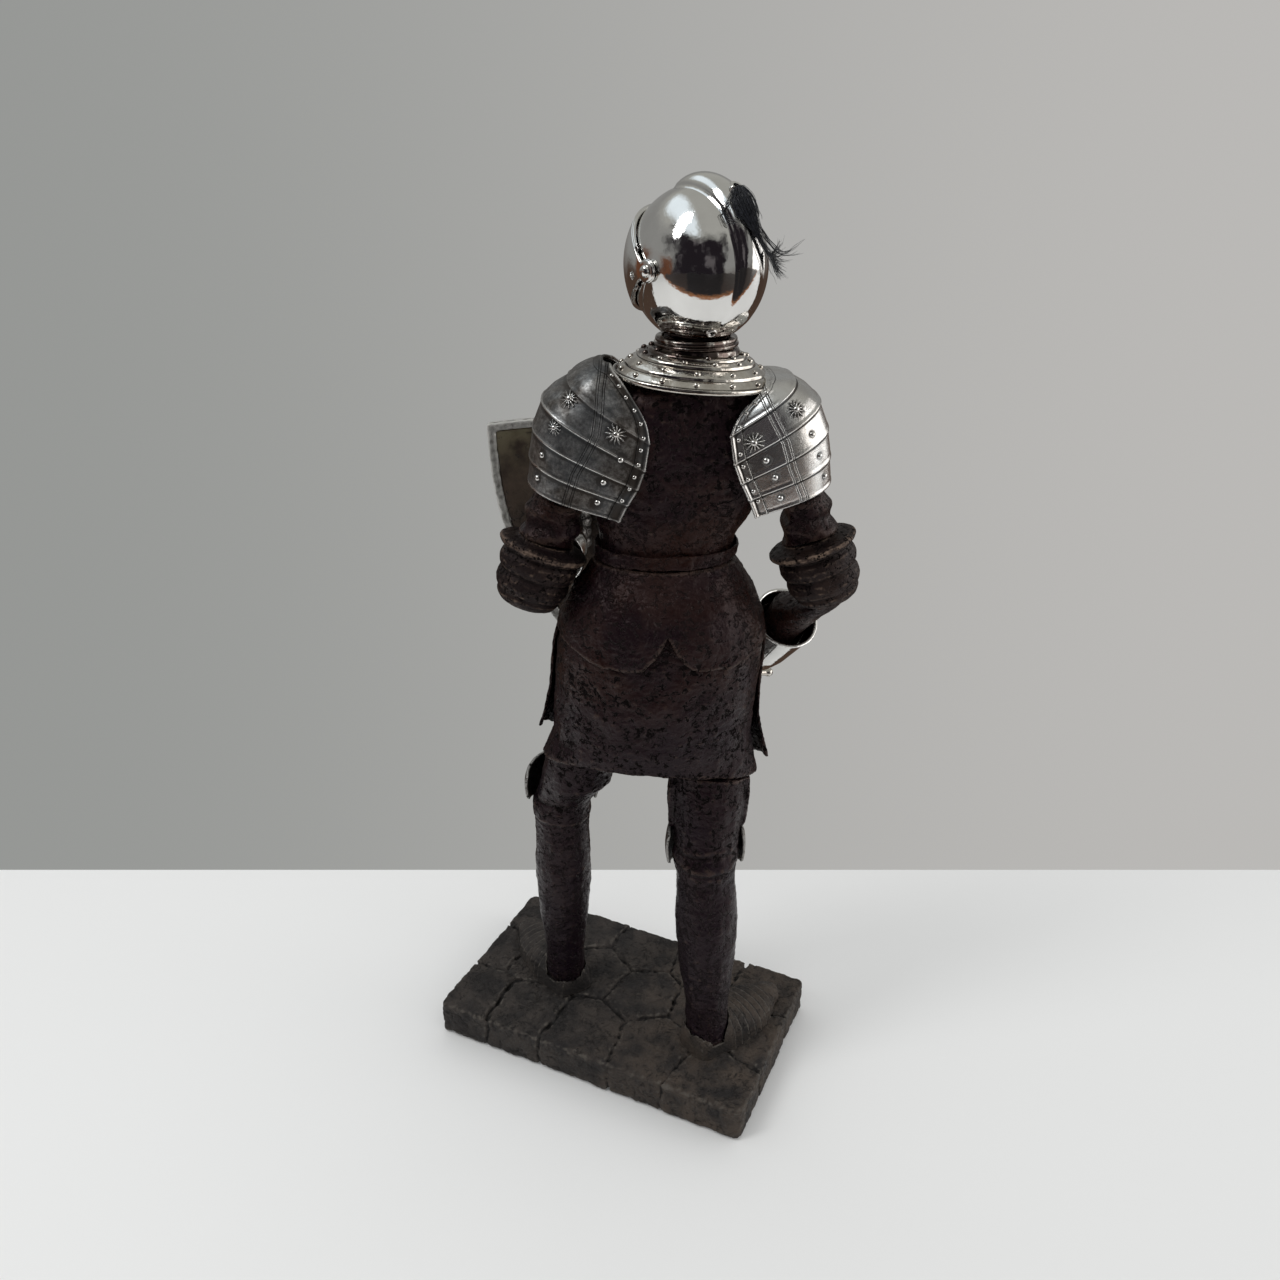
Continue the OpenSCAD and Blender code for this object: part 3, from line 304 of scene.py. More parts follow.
def rough_stone(p):
    """Height of the stone: wandering joints between flags that each lie a little differently."""
    def rough(scale, *shift):
        return noise(p * scale + Vector(shift or (0, 0, 0)))

    q = Vector((p.x + 1.6 * rough(0.12), p.y + 1.6 * rough(0.12, 5, 1, 7), 0))
    first, second = sorted(((q - m).length_squared, k) for k, m in enumerate(FLAGS))[:2]
    own, other = FLAGS[first[1]], FLAGS[second[1]]
    joint = (second[0] - first[0]) / (2 * (own - other).length)
    tilt = (q.x - own.x) * noise(own) + (q.y - own.y) * noise(own * 2.1)
    lie = 0.35 * noise(own * 0.9) + 0.012 * tilt
    top = 0.2 + 0.8 * min(1, max(0, p.z - 10) / 5)
    filled = 0.3 * exp(-(joint / FILLING) ** 2) * (1 + 2 * rough(0.07, 4, 4, 2)) * top
    cut = -1.0 * exp(-(joint / CUT) ** 2) * (0.75 + 0.9 * rough(0.15, 2, 8, 3))
    crack = 0.5 * (1 - abs(rough(0.19, 9, 3, 1))) ** 9
    return lie + filled + cut + 0.45 * rough(0.14) + 0.32 * rough(0.33) + 0.22 * rough(0.9) - crack


cast("paved_plinth", ["plinth"], stone_paint, 0.66, 3, (6, 1.3), rough_stone)

# ---- Felt ----
# A sheet of dark green-black felt glued under the plinth, so that it doesn't scratch
# the shelf it stands on.
felt_paint, tree, shader = finish_of("felt_pile", Specular_IOR_Level=0.1, Sheen_Weight=0.3)
pile = wander(place_on(tree), 1500.0, 4.0)
surface(shader, blend(pile, (0.006, 0.009, 0.007), (0.02, 0.026, 0.021)), 0.95, pile, 0.0004)


def repaint(name, paint):
    """Paints a CAD node that is shown as it is."""
    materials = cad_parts[name].data.materials
    materials.clear()
    materials.append(paint)


repaint("felt", felt_paint)

# ---- Legs and feet ----
# Greaves and thighs are cast in the dark resin with the body, and the pointed feet of
# overlapping lames are finished like the stone that they stand on. The knee cops are
# their own castings, rubbed bright at their edges.
SKIRT_HEM, SKIRT_MIDDLE, CHEST = 0.168, 0.215, 0.255
resin_paint, tree, shader = finish_of("dark_resin", Specular_IOR_Level=0.2,
                                      Specular_Tint=(1.0, 0.78, 0.76, 1))
where = place_on(tree)
height = along(where, "Z")
pits = use(tree, pitting, Size=1.45, Amount=0.95)
small = use(tree, pitting, Size=0.55, Amount=0.45)
worn = use(tree, edge_wear, From=0.62, To=0.9)
hole = most(pits["Pits"], times(small["Pits"], 0.8))
from_hem = unsigned(minus(height, SKIRT_HEM))
rough_zone = most(ramp(from_hem, 0.07, 0.035, 0.55, 1.0), ramp(height, CHEST, CHEST + 0.02, 0.0, 0.95))
hole = times(hole, rough_zone)
patch = wander(where, 28.0, 2.0)
# Light-brown flecks: partly rubbed colour of the resin and partly painted glints of light
fleck_and_glint = times(ramp(small["Grain"], 0.56, 0.68), ramp(pits["Tone"], 0.45, 0.6))
colour = layered(blend(ramp(patch, 0.42, 0.62), (0.0080, 0.0036, 0.0056), (0.0150, 0.0052, 0.0034)),
                 (ramp(pits["Tone"], 0.42, 0.72), (0.0180, 0.0088, 0.0082)),
                 (ramp(height, SKIRT_MIDDLE, 0.17, 0.0, 0.75), (0.0058, 0.0032, 0.0064)),
                 (times(fleck_and_glint, 0.5), (0.042, 0.028, 0.024)),
                 (times(worn["Worn"], 0.5), (0.055, 0.036, 0.028)),
                 (most(times(worn["Hollow"], 0.8), hole), (0.0007, 0.0005, 0.0007)))
satin = ramp(pits["Grain"], 0.3, 0.7, 0.24, 0.4)
swell = times_plus(pits["Tone"], 1.6, times(pits["Grain"], 0.35))
surface(shader, colour, most(satin, hole), times_plus(hole, -1.0, swell), 0.001)


def rough_cast(p):
    """Height of the resin's lumps and grain."""
    return (0.42 * noise(p * 0.13) + 0.2 * noise(Vector((p.x * 0.4, p.y * 0.4, p.z * 0.7)))
            + 0.07 * noise(p * 1.1) - 0.2)


def resin(name, nodes, voxel, rounds, wear, lump=rough_cast):
    cast(name, nodes, resin_paint, voxel, rounds, wear, lump)


def lumpier(amount, less=0.0):
    return lambda p: amount * rough_cast(p) - less


cop_paint, tree, shader = finish_of("rubbed_cop", Metallic=0.8)
pits = use(tree, pitting, Size=0.8, Amount=0.6)
worn = use(tree, edge_wear, From=0.48, To=0.78)
colour = layered(blend(ramp(pits["Tone"], 0.35, 0.65), (0.024, 0.02, 0.02), (0.06, 0.054, 0.05)),
                 (worn["Worn"], (0.3, 0.29, 0.275)),
                 (times(worn["Hollow"], 0.8), (0.006, 0.005, 0.005)),
                 (pits["Pits"], (0.004, 0.003, 0.003)))
surface(shader, colour, ramp(pits["Grain"], 0.3, 0.7, 0.26, 0.45),
        times_plus(pits["Pits"], -1.0, times(pits["Grain"], 0.4)), 0.0004)

KNEE_CREASES = {"left": (4.5, -6.5), "right": (-2, 5)}
for side in ("left", "right"):
    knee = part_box(side + "_greave")[1][2] * 1000

    def creased(p):
        """Rough casting with soft folds across the back of the knee."""
        folds = 0
        for up in KNEE_CREASES[side]:
            off = p.z - knee + 1.2 - up - 2.5 * noise(p * 0.06)
            folds += 0.55 * exp(-(off / 0.7) ** 2) - 0.3 * exp(-((off - 2.2) / 1.5) ** 2)
        return rough_cast(p) * 1.3 - folds

    resin(side + "_leg", [side + "_greave", side + "_cuisse"], 0.75, 6, (9, 1.8), creased)
    cast(side + "_foot", [side + "_sabaton"], stone_paint, 0.42, 1, (4, 6.0), lumpier(0.3))
    cast(side + "_knee_cop", [side + "_poleyn"], cop_paint, 0.45, 4, (8, 2.6))

# ---- Skirt, apron, rump guard and belt ----
# The long skirt is one dark casting. The apron in front, open at both sides, and the
# two-lobed rump guard behind stand proud of it, and a thin belt closes the waist.
resin("long_skirt", ["skirt"], 0.8, 8, (8, 2.4), lumpier(1.4))
resin("front_apron", ["apron"], 0.55, 3, (6, 2.6))

# The figure's own axes, in mm, from the middle of its stance
MM = Matrix.Scale(0.001, 4)


def turn_by(angle, axis):
    """A turn in degrees about that axis."""
    return Matrix.Rotation(radians(angle), 4, axis)


FIGURE = MM @ Matrix.Translation((-19, 1, 0)) @ turn_by(27, "Z")


def rump(p):
    """Two rounded swellings over the rough casting."""
    q = FIGURE.inverted() @ (p * 0.001)
    swell = exp(-((abs(q.x) - 15) / 11) ** 2 - ((q.z - rump_middle) / 15) ** 2)
    return 0.4 + 1.2 * rough_cast(p) + (2.2 * swell if q.y > 0 else 0)


low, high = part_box("culet")
rump_middle = 1000 * (0.5 * low[2] + 0.5 * high[2])
resin("rump_guard", ["culet"], 0.5, 2, (6, 3.0), rump)
resin("thin_belt", ["belt"], 0.5, 3, (6, 2.6), lumpier(1.5, 0.35))

# ---- Torso ----
# Back and breast are one casting in the dark resin, with a seam down each flank that is
# not drawn; here they are made as one skin over both and the neck's post.
resin("cast_torso", ["backplate", "breastplate", "neck_post"], 0.8, 8, (9, 2.2), lumpier(1.4))

# ---- Arms ----
# Upper arms and forearms are cast with the body. Each elbow cop is a flanged ring over
# rounded lames, with its flange rubbed brown.
elbow_paint, tree, shader = finish_of("rubbed_elbow", Specular_IOR_Level=0.2,
                                      Specular_Tint=(1.0, 0.8, 0.76, 1))
pits = use(tree, pitting, Size=0.8, Amount=0.8)
worn = use(tree, edge_wear, From=0.56, To=0.84)
colour = layered(blend(ramp(pits["Tone"], 0.4, 0.66), (0.007, 0.0042, 0.0048), (0.019, 0.0115, 0.0095)),
                 (worn["Worn"], (0.15, 0.105, 0.078)),
                 (most(times(worn["Hollow"], 0.8), pits["Pits"]), (0.0008, 0.0006, 0.0007)))
surface(shader, colour, most(ramp(pits["Grain"], 0.3, 0.7, 0.36, 0.55), pits["Pits"]),
        times_plus(pits["Pits"], -1.0, times(pits["Grain"], 0.45)), 0.0008)

for side in ("left", "right"):
    def ringed(p):
        """Rough casting with the rounded steps of an arm's lames."""
        step = cos(0.62 * (p.z - elbow + 1.5 * noise(p * 0.05)))
        return 0.8 * rough_cast(p) + 0.75 * step - 0.2

    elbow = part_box(side + "_couter")[1][2] * 1000
    resin(side + "_arm", [side + "_upper_arm"], 0.7, 4, (10, 1.6), ringed)
    cast(side + "_elbow_cop", [side + "_couter"], elbow_paint, 0.45, 1, (7, 2.2),
         lumpier(0.6))
    resin(side + "_lower_arm", [side + "_forearm"], 0.7, 6, (10, 1.6))

# ---- Gorget ----
# Rings of polished plate about the neck over a wide collar, held by small rivets. The
# collar's edge is rolled outwards.
mirror_paint, tree, shader = finish_of("mirror_plate", Metallic=1.0)
where = place_on(tree)
cloud = wander(where, 90.0, 4.0)
smear = wander(where, 700.0, 3.0)
colour = blend(ramp(cloud, 0.3, 0.75), (0.72, 0.71, 0.69), (0.8, 0.79, 0.77))
surface(shader, colour, ramp(cloud, 0.35, 0.7, 0.035, 0.1), times_plus(cloud, 5.0, smear), 0.00003)

warm_plate_paint, tree, shader = finish_of("warm_plate", Metallic=1.0)
where = place_on(tree)
cloud = wander(where, 240.0, 4.0)
worn = use(tree, edge_wear, From=0.6, To=0.9)
neck = ramp(along(where, "Z"), 0.3232, 0.3242)
colour = layered(blend(ramp(cloud, 0.3, 0.72), (0.5, 0.46, 0.41), (0.68, 0.65, 0.6)),
                 (times(neck, ramp(cloud, 0.7, 0.5)), (0.11, 0.085, 0.075)),
                 (worn["Hollow"], (0.05, 0.04, 0.03)))
surface(shader, colour, ramp(cloud, 0.35, 0.7, 0.08, 0.2), cloud, 0.0003)

NECK_X, NECK_R = -10.5, 13.5
REACH_SIDE, REACH_BACK, SQUARE = 16.0, 11.5, 0.952
COLLAR = FIGURE @ Matrix.Translation((NECK_X, 0, 320)) @ turn_by(-5, "Y") @ turn_by(7, "Z")


def agree(bm):
    """Turns the faces to one side of the surface."""
    bmesh.ops.recalc_face_normals(bm, faces=bm.faces)


def reverse(bm):
    bmesh.ops.reverse_faces(bm, faces=bm.faces)


def turned(profile, steps):
    """A closed ring or a cup: the outline of (radius, height) points spun about Z."""
    bm = bmesh.new()
    points = [bm.verts.new((r, 0, z)) for r, z in profile]
    edges = [bm.edges.new(pair) for pair in zip(points, points[1:])]
    bmesh.ops.spin(bm, geom=points + edges, cent=(0, 0, 0), axis=(0, 0, 1), angle=2 * pi, steps=steps,
                   use_merge=True)
    bmesh.ops.remove_doubles(bm, verts=bm.verts, dist=1e-4)
    agree(bm)
    return bm


def put(bm, matrix):
    bmesh.ops.transform(bm, matrix=matrix, verts=bm.verts)


def rounded(profile, rounds):
    """The open outline with its corners cut that many times."""
    for _ in range(rounds):
        cut = []
        for (x0, y0), (x1, y1) in zip(profile, profile[1:]):
            cut += [(0.75 * x0 + 0.25 * x1, 0.75 * y0 + 0.25 * y1),
                    (0.25 * x0 + 0.75 * x1, 0.25 * y0 + 0.75 * y1)]
        profile = [profile[0], *cut, profile[-1]]
    return profile


def facing(at, out):
    """Stands the Z axis at that point, on the way out of the surface."""
    return Matrix.Translation(at) @ Vector(out).to_track_quat("Z", "Y").to_matrix().to_4x4()


def rivet(bm, at, out, radius, height, sides=14):
    """A low round-headed rivet on a surface, in the bmesh's own units."""
    low = facing(at, out) @ Matrix.Diagonal((radius, radius, height, 1))
    bmesh.ops.create_uvsphere(bm, u_segments=sides, v_segments=8, radius=1, matrix=low)


def join(bm, other):
    """Adds the other bmesh to bm, and ends it."""
    part = bpy.data.meshes.new("part")
    other.to_mesh(part)
    other.free()
    bm.from_mesh(part)
    bpy.data.meshes.remove(part)


# Share of the way from the neck to the edge, and height, down the collar's steps
collar_line = [(-0.03, 6.3), (0.02, 6.6), (0.07, 6.2), (0.09, 5.4), (0.1, 4.3), (0.13, 4.4), (0.2, 4.3),
               (0.24, 3.9), (0.25, 3.0), (0.28, 3.1), (0.42, 2.4), (0.46, 1.9), (0.465, 0.9), (0.5, 1.0),
               (0.68, -0.7), (0.72, -1.2), (0.725, -2.2), (0.76, -2.2), (0.9, -4.1), (0.94, -4.5),
               (0.975, -4.2), (1.0, -4.5), (1.01, -5.2), (0.995, -5.9), (0.965, -6.1), (0.94, -5.8)]


def on_collar(v):
    """The oval of the collar for a point turned at (share + 1, angle, height)."""
    share = hypot(v.x, v.y) - 1
    angle = atan2(v.y, v.x)
    c, s = (copysign(abs(t) ** SQUARE, t) for t in (cos(angle), sin(angle)))
    return Vector(((NECK_R + share * REACH_SIDE) * c, (NECK_R + share * REACH_BACK) * s, v.z))


bm = turned([(1 + s, z) for s, z in rounded(collar_line, 1)], 160)
for v in bm.verts:
    v.co = on_collar(v.co)
bmesh.ops.remove_doubles(bm, verts=bm.verts, dist=1e-4)
agree(bm)
if sum(f.normal.z for f in bm.faces) < 0:
    reverse(bm)
bmesh.ops.solidify(bm, geom=bm.faces, thickness=0.9)
studs = bmesh.new()
for share, lift, count, start in ((0.35, 2.8, 12, 8), (0.17, 4.4, 10, 20), (0.6, 0.0, 12, 22),
                                  (0.83, -3.1, 14, 5)):
    for k in range(count):
        angle = radians(start + 360 * k / count)
        at = on_collar(Vector(((1 + share) * cos(angle), (1 + share) * sin(angle), lift)))
        rivet(studs, at, (cos(angle) * 0.5, sin(angle) * 0.5, 1), 1.1, 0.85)
join(bm, studs)
put(bm, COLLAR)
piece("gorget_collar", bm, warm_plate_paint, "statue", ["gorget"], (7, 4.5))

neck_line = [(12.2, 0), (14.4, -0.1), (15.0, 0.5), (14.9, 1.3), (14.0, 1.6), (14.5, 1.9), (14.4, 2.9),
             (13.9, 3.3), (12.2, 3.4)]
bm = turned(rounded(neck_line, 2), 128)
put(bm, FIGURE @ Matrix.Translation((NECK_X, 0, 326)))
piece("neck_rings", bm, warm_plate_paint, "statue", ["neck_lames"], (6, 3.0))

# ---- Pauldrons ----
# Each shoulder plate is a dome over four lames of antiqued pewter: engraved lines, a
# flanged and rolled rim, riveted stars, and dark patina left in every hollow. Painted
# shadow darkens the plate just under each lame's overlapping edge.
pewter_paint, tree, shader = finish_of("antique_pewter")
band, rim, patina_and_shadow, tint = (kept_on(tree, name) for name in ("band", "rim", "patina_and_shadow", "tint"))
where = place_on(tree)
blotch = wander(where, 210.0, 6.0, 0.65)
speck = wander(where, 900.0, 5.0, 0.7)
broad = wander(where, 75.0, 3.0)


def line(distance, place, width):
    """1 on a line at that distance, and 0 away from it."""
    off = unsigned(minus(distance, place))
    return ramp(off, width, width * 0.25)


twin = unsigned(band)
cut = most(line(twin, 0.75, 0.26), line(twin, 1.5, 0.26))
cut = most(cut, line(rim, 4.9, 0.3))
worn = use(tree, edge_wear, From=0.6, To=0.9)
# Darkening of the pewter: patina in hollows and round rivets and stars, random blotches, and painted
# shadow just under each lame's edge
tarnish_and_shadow = plus(times(patina_and_shadow, 0.95), times(worn["Hollow"], 0.8))
tarnish_and_shadow = plus(tarnish_and_shadow, times(minus(blotch, 0.5), 0.6))
tarnish_and_shadow = plus(tarnish_and_shadow, tint)
tarnish_and_shadow = minus(tarnish_and_shadow, times(worn["Worn"], 0.32))
tarnish_and_shadow = ramp(plus(tarnish_and_shadow, times(minus(speck, 0.5), 0.5)), 0.15, 0.85)
clean = blend(ramp(broad, 0.35, 0.65), (0.66, 0.64, 0.61), (0.76, 0.76, 0.75))
soot = blend(ramp(broad, 0.4, 0.62), (0.05, 0.042, 0.036), (0.082, 0.085, 0.088))
colour = blend(times(cut, 0.85), blend(tarnish_and_shadow, clean, soot), (0.008, 0.007, 0.006))
fill(shader["Metallic"], times_plus(tarnish_and_shadow, -0.2, 1.0))
surface(shader, colour, ramp(times_plus(tarnish_and_shadow, 0.6, times(speck, 0.4)), 0.1, 0.9, 0.24, 0.44),
        plus(times(cut, -1.0), times_plus(blotch, 0.6, times(speck, 0.22))), 0.00025)


def between(table, x):
    return np.interp(x, [r[0] for r in table], [r[1] for r in table])


PLATE = 1.3


def walled(bm, thickness=PLATE):
    """The sheet with a wall inside it."""
    return worked(bm, "SOLIDIFY", thickness=thickness, offset=-1)


def star(bm, at, out, radius, petals):
    """A riveted star: low petals round a boss, and dark patina between them where the mesh keeps that
    layer.
    """
    patina_and_shadow = bm.verts.layers.float.get("patina_and_shadow")
    turn = facing(at, out)
    made = bmesh.ops.create_cone(bm, cap_ends=True, cap_tris=True, segments=petals * 6, radius1=radius,
                                 radius2=radius * 0.36, depth=0.8)["verts"]
    for v in made:
        r = hypot(v.co.x, v.co.y)
        wave = 0.5 + 0.5 * cos(petals * atan2(v.co.y, v.co.x))
        if patina_and_shadow:
            v[patina_and_shadow] = 1.3 - 0.95 * wave
        if r > radius * 0.9:
            v.co = Vector((v.co.x * (0.62 + 0.38 * wave), v.co.y * (0.62 + 0.38 * wave),
                           0.02 + 0.1 * wave))
        elif r > radius * 0.2:
            v.co.z = 0.05 + 0.4 * wave
        v.co = turn @ v.co
    boss = turn @ Matrix.Translation((0, 0, 0.45))
    boss = boss @ Matrix.Diagonal((radius * 0.3, radius * 0.3, radius * 0.24, 1))
    bmesh.ops.create_uvsphere(bm, u_segments=16, v_segments=10, radius=1, matrix=boss)


SEAM, HEM = 17.5, -17.5
SLOPES = [(HEM, 0.1), (-10.5, 0.15), (-2.4, 0.24), (7, 0.33), (SEAM, 0.4)]
MIDDLES = [(HEM, -0.4), (-2.4, -0.6), (7, -1), (SEAM, -1.5)]
WIDTHS = [(HEM, 22.2), (-10.5, 23.4), (-2.4, 24.3), (7, 23.2), (12, 20.4), (SEAM, 16)]
DEPTHS = [(HEM, 21.4), (-10.5, 22.3), (-2.4, 23), (7, 23), (SEAM, 21.4)]
RIMS = {"left": [(HEM, -12.9), (-10.5, -14.3), (-2.4, -16.5), (7, -17.7), (SEAM, -17.4)],
        "right": [(HEM, -9.2), (-10.5, -10.3), (-2.4, -12), (7, -13.3), (SEAM, -12.8)]}
RIM_UP = {"left": (0.5, -1.5, -7.5, -14.5), "right": (1.4, 3, 0, -9)}
CROWN = {"left": 31.5, "right": 26}
TINT = {"left": 0.7, "right": 0.14}
SHOULDER = {"left": (25.75, 0, 289.02), "right": (-36.25, 0, 289.02)}
# Half width towards the neck, extra depth in front, squareness of the section
INNER, FRONT, POWER = 30, 3.5, 2 / 2.7
# Points across a plate, and a distance at which no line is engraved
COLUMNS, AWAY = 190, 9
DOME = [(1, 0, 1.5, 1.5, 4.5), (0.9, 0.1, 1, 4.5, 11), (0.67, 0.25, 0.5, 8, 16.6),
        (0.35, 0.35, -0.5, 12.4, 19.6)]
LEVELS = [SEAM + (HEM - SEAM) * (k / 4) ** 0.87 for k in range(5)]


def pauldron_rows(side):
    """Each row's height, slope, middle, half width, half depth, rim and place in its lame."""
    dome = [(SEAM + (CROWN[side] - SEAM) * f[0], *f[1:], up) for f, up in zip(DOME, RIM_UP[side])]
    dome.append((SEAM, 0.4, -1.5, 16, 21.4, RIMS[side][-1][1]))
    table = np.array(dome)
    share = np.linspace(0, 4, 64)
    # A smooth curve through the rows, so that the dome shows no facets
    rows = []
    for s in share:
        k = min(int(s), 3)
        t = s - k
        p = [table[max(0, min(4, k + j))] for j in (-1, 0, 1, 2)]
        rows.append(0.5 * (2 * p[1] + (p[2] - p[0]) * t + (2 * p[0] - 5 * p[1] + 4 * p[2] - p[3]) * t ** 2
                           + (3 * p[1] - p[0] - 3 * p[2] + p[3]) * t ** 3))
    made = [(*r, 0, s / 4) for r, s in zip(rows, share)]
    for k in range(4):
        for s in np.linspace(0, 1, 25):
            z = (LEVELS[k] - 0.3) * (1 - s) + LEVELS[k + 1] * s
            shape = (between(t, z) for t in (SLOPES, MIDDLES, WIDTHS, DEPTHS, RIMS[side]))
            made.append((z, *shape, k + 1, s))
    return made


def power(x, p):
    return np.sign(x) * np.abs(x) ** p


def hill(x, middle, wide):
    return np.exp(-((x - middle) / wide) ** 2)


RIVETS = {"left": [(18.1, 16.9, -1.3), (19, 15.7, -10.2), (-8.3, 22, 4.7),
                   (-3.7, 22.5, -5), (-3.2, 21.5, -12.9)],
          "right": [(15.3, 19.1, 6.7), (16.8, 17.8, -2), (18.3, 16.4, -10.5),
                    (-1.6, 22.7, 1.9), (0.3, 22.5, -4.9), (1, 21.3, -13)]}
STARS = {"left": [(12.1, 15.9, 19.2, 3.9), (-5.2, 21.6, 12.4, 3.9), (15.8, 18.2, 9.5, 3)],
         "right": [(10.8, 18.8, 16, 3.7), (-4.8, 22.1, 9, 3.9)]}
BANDS = {"left": [(-14.7, 7.1), (-4.5, 6.1), (4.7, 3.2), (10.6, 1.7), (18.7, 2.1), (26, 3)],
         "right": [(-14.7, 9.3), (-3.2, 6.9), (6.6, 6), (15.5, 3.2), (24, 1)]}
for side, s in (("left", 1), ("right", -1)):
    rows = pauldron_rows(side)
    bm = bmesh.new()
    bmesh.ops.create_grid(bm, x_segments=COLUMNS, y_segments=len(rows) - 1, size=1)
    bm.verts.ensure_lookup_table()
    grid = np.array([v.co for v in bm.verts])
    column = np.rint((grid[:, 0] + 1) / 2 * COLUMNS).astype(int)
    row = np.rint((1 - grid[:, 1]) / 2 * (len(rows) - 1)).astype(int)
    table = np.array(rows)
    z, slope, middle, width, depth, rim_x, lame, share = table.T
    x = rim_x - middle
    reach = np.where(x < 0, np.arccos(-power(np.maximum(-x, 0) / INNER, 1.35)),
                     np.arccos(power(np.maximum(x, 0) / width, 1.35)))
    u = np.linspace(-1, 1, COLUMNS + 1)
    u = np.sign(u) * (1 - (1 - np.abs(u)) ** 1.35)
    t = reach[:, None] * -u[None, :]
    c, n = np.cos(t), np.sin(t)
    px = middle[:, None] + np.where(c > 0, width[:, None], INNER) * power(c, POWER)
    bulge = np.where(n < 0, FRONT, 0) * np.minimum(1, depth[:, None] / 15)
    py = (depth[:, None] + bulge) * power(n, POWER)
    pz = z[:, None] + slope[:, None] * px
    p = np.stack([px, py, pz], 2)
    for _ in range(2):
        # The squarish section bends sharply where it crosses its middle, so it is eased
        p[:, 1:-1] = 0.25 * p[:, :-2] + 0.5 * p[:, 1:-1] + 0.25 * p[:, 2:]
    along_row = np.concatenate([np.zeros((len(rows), 1)),
                                np.cumsum(np.linalg.norm(np.diff(p, axis=1), axis=2), axis=1)], 1)
    from_rim = np.minimum(along_row, along_row[:, -1:] - along_row)
    top_drop = np.concatenate([[0], np.cumsum(np.abs(np.diff(z)))])
    from_rim = np.minimum(from_rim, (top_drop * 2.2 + 0.2)[:, None] * np.ones_like(from_rim))
    out = np.cross(np.gradient(p, axis=0), np.gradient(p, axis=1))
    out /= np.maximum(np.linalg.norm(out, axis=2, keepdims=True), 1e-9)
    if (out[:, :, 1] * p[:, :, 1]).sum() < 0:
        out = -out
    lame_len = np.where(lame == 0, 14, -np.interp(lame, range(5), [0] + list(np.diff(LEVELS))))
    below = (1 - share) * lame_len
    rise = np.where(lame == 0, 0.15, -0.35 + 0.5 * share)
    rise = rise + 0.14 * hill(below, 0.4, 0.4) - 0.06 * hill(below, 1.5, 0.35)
    flange = 0.35 / (1 + np.exp((from_rim - 4.6) * 4)) + 0.75 * hill(from_rim, 0.8, 0.75)
    h = rise[:, None] * (1 - 0.5 * hill(from_rim, 0.8, 1.2)) + flange
    p = p + out * h[:, :, None]
    for v, place in zip(bm.verts, p[row, column]):
        v.co = place
    band_at = np.interp(p[:, :, 2], *zip(*BANDS[side]))
    dark = np.zeros(p.shape[:2])
    marks = [(q, 1.7) for q in RIVETS[side]] + [(q[:3], 0.8 * q[3]) for q in STARS[side]]
    for q, size in marks:
        dark += np.exp(-(((p - np.array(q)) ** 2).sum(2) / size ** 2) ** 2)
    layers = {"band": np.where(py > 0, p[:, :, 0] - band_at, AWAY), "rim": from_rim,
              # Patina round rivets and stars and along the rivet row, and painted shadow just under each
              # lame's overlapping edge
              "patina_and_shadow": np.clip(0.8 * dark + 0.75 * hill(share * lame_len, 0, 0.7)[:, None]
                               + 0.3 * hill(from_rim, 3.0, 1.2), 0, 1),
              "tint": np.full(p.shape[:2], TINT[side])}
    for label, values in layers.items():
        layer = bm.verts.layers.float.new(label)
        for v, value in zip(bm.verts, values[row, column]):
            v[layer] = float(value)
    agree(bm)
    middle_face = min(bm.faces, key=lambda f: (f.calc_center_median() - Vector((24, 0, 0))).length)
    if middle_face.normal.x < 0:
        reverse(bm)
    bm = walled(bm)
    studs = bmesh.new()
    for label in layers:
        studs.verts.layers.float.new(label)

    def seat(q):
        """The nearest place on the plate and the way out of it."""
        k = np.unravel_index(np.argmin(((p - np.array(q)) ** 2).sum(2)), p.shape[:2])
        return Vector(p[k]), Vector(out[k])

    for q in RIVETS[side]:
        place, way = seat(q)
        rivet(studs, place, way, 1.15, 1.0)
    for q in STARS[side]:
        place, way = seat(q[:3])
        star(studs, place, way, q[3], 12)
    for first_half in (True, False):
        across = np.arange(COLUMNS + 1)[None, :]
        other = across > COLUMNS / 2 if first_half else across < COLUMNS / 2
        edge = np.argmin(np.abs(from_rim - 3.0) + 100 * other, axis=1)
        path = p[np.arange(len(rows)), edge]
        gone = np.cumsum(np.linalg.norm(np.diff(path, axis=0), axis=1))
        for k in range(1, int(gone[-1] / 5)):
            j = int(np.searchsorted(gone, 5 * k))
            if top_drop[j] > 2:
                rivet(studs, path[j], out[j, edge[j]], 0.85, 0.7, 10)
    for label, value in (("band", AWAY), ("rim", AWAY), ("tint", 0.15)):
        layer = studs.verts.layers.float[label]
        for v in studs.verts:
            v[layer] = value
    join(bm, studs)
    place = FIGURE @ Matrix.Translation(SHOULDER[side]) @ Matrix.Diagonal((s, 1, 1, 1))
    put(bm, place @ turn_by(-12, "Y"))
    if s < 0:
        reverse(bm)
    piece(side + "_shoulder_plate", bm, pewter_paint, "statue", [side + "_pauldron"],
          (8, 3.0))

# ---- Gauntlets and hands ----
# The hands are gloved in pewter finger lames. Each gauntlet's cuff is a polished cone,
# flared and rolled at its mouth.
for side in ("left", "right"):
    cast(side + "_cuff", [side + "_gauntlet"], mirror_paint, 0.35, 4, (6, 2.0))
    cast(side + "_hand", [side + "_fist"], cop_paint, 0.45, 3, (8, 2.0))

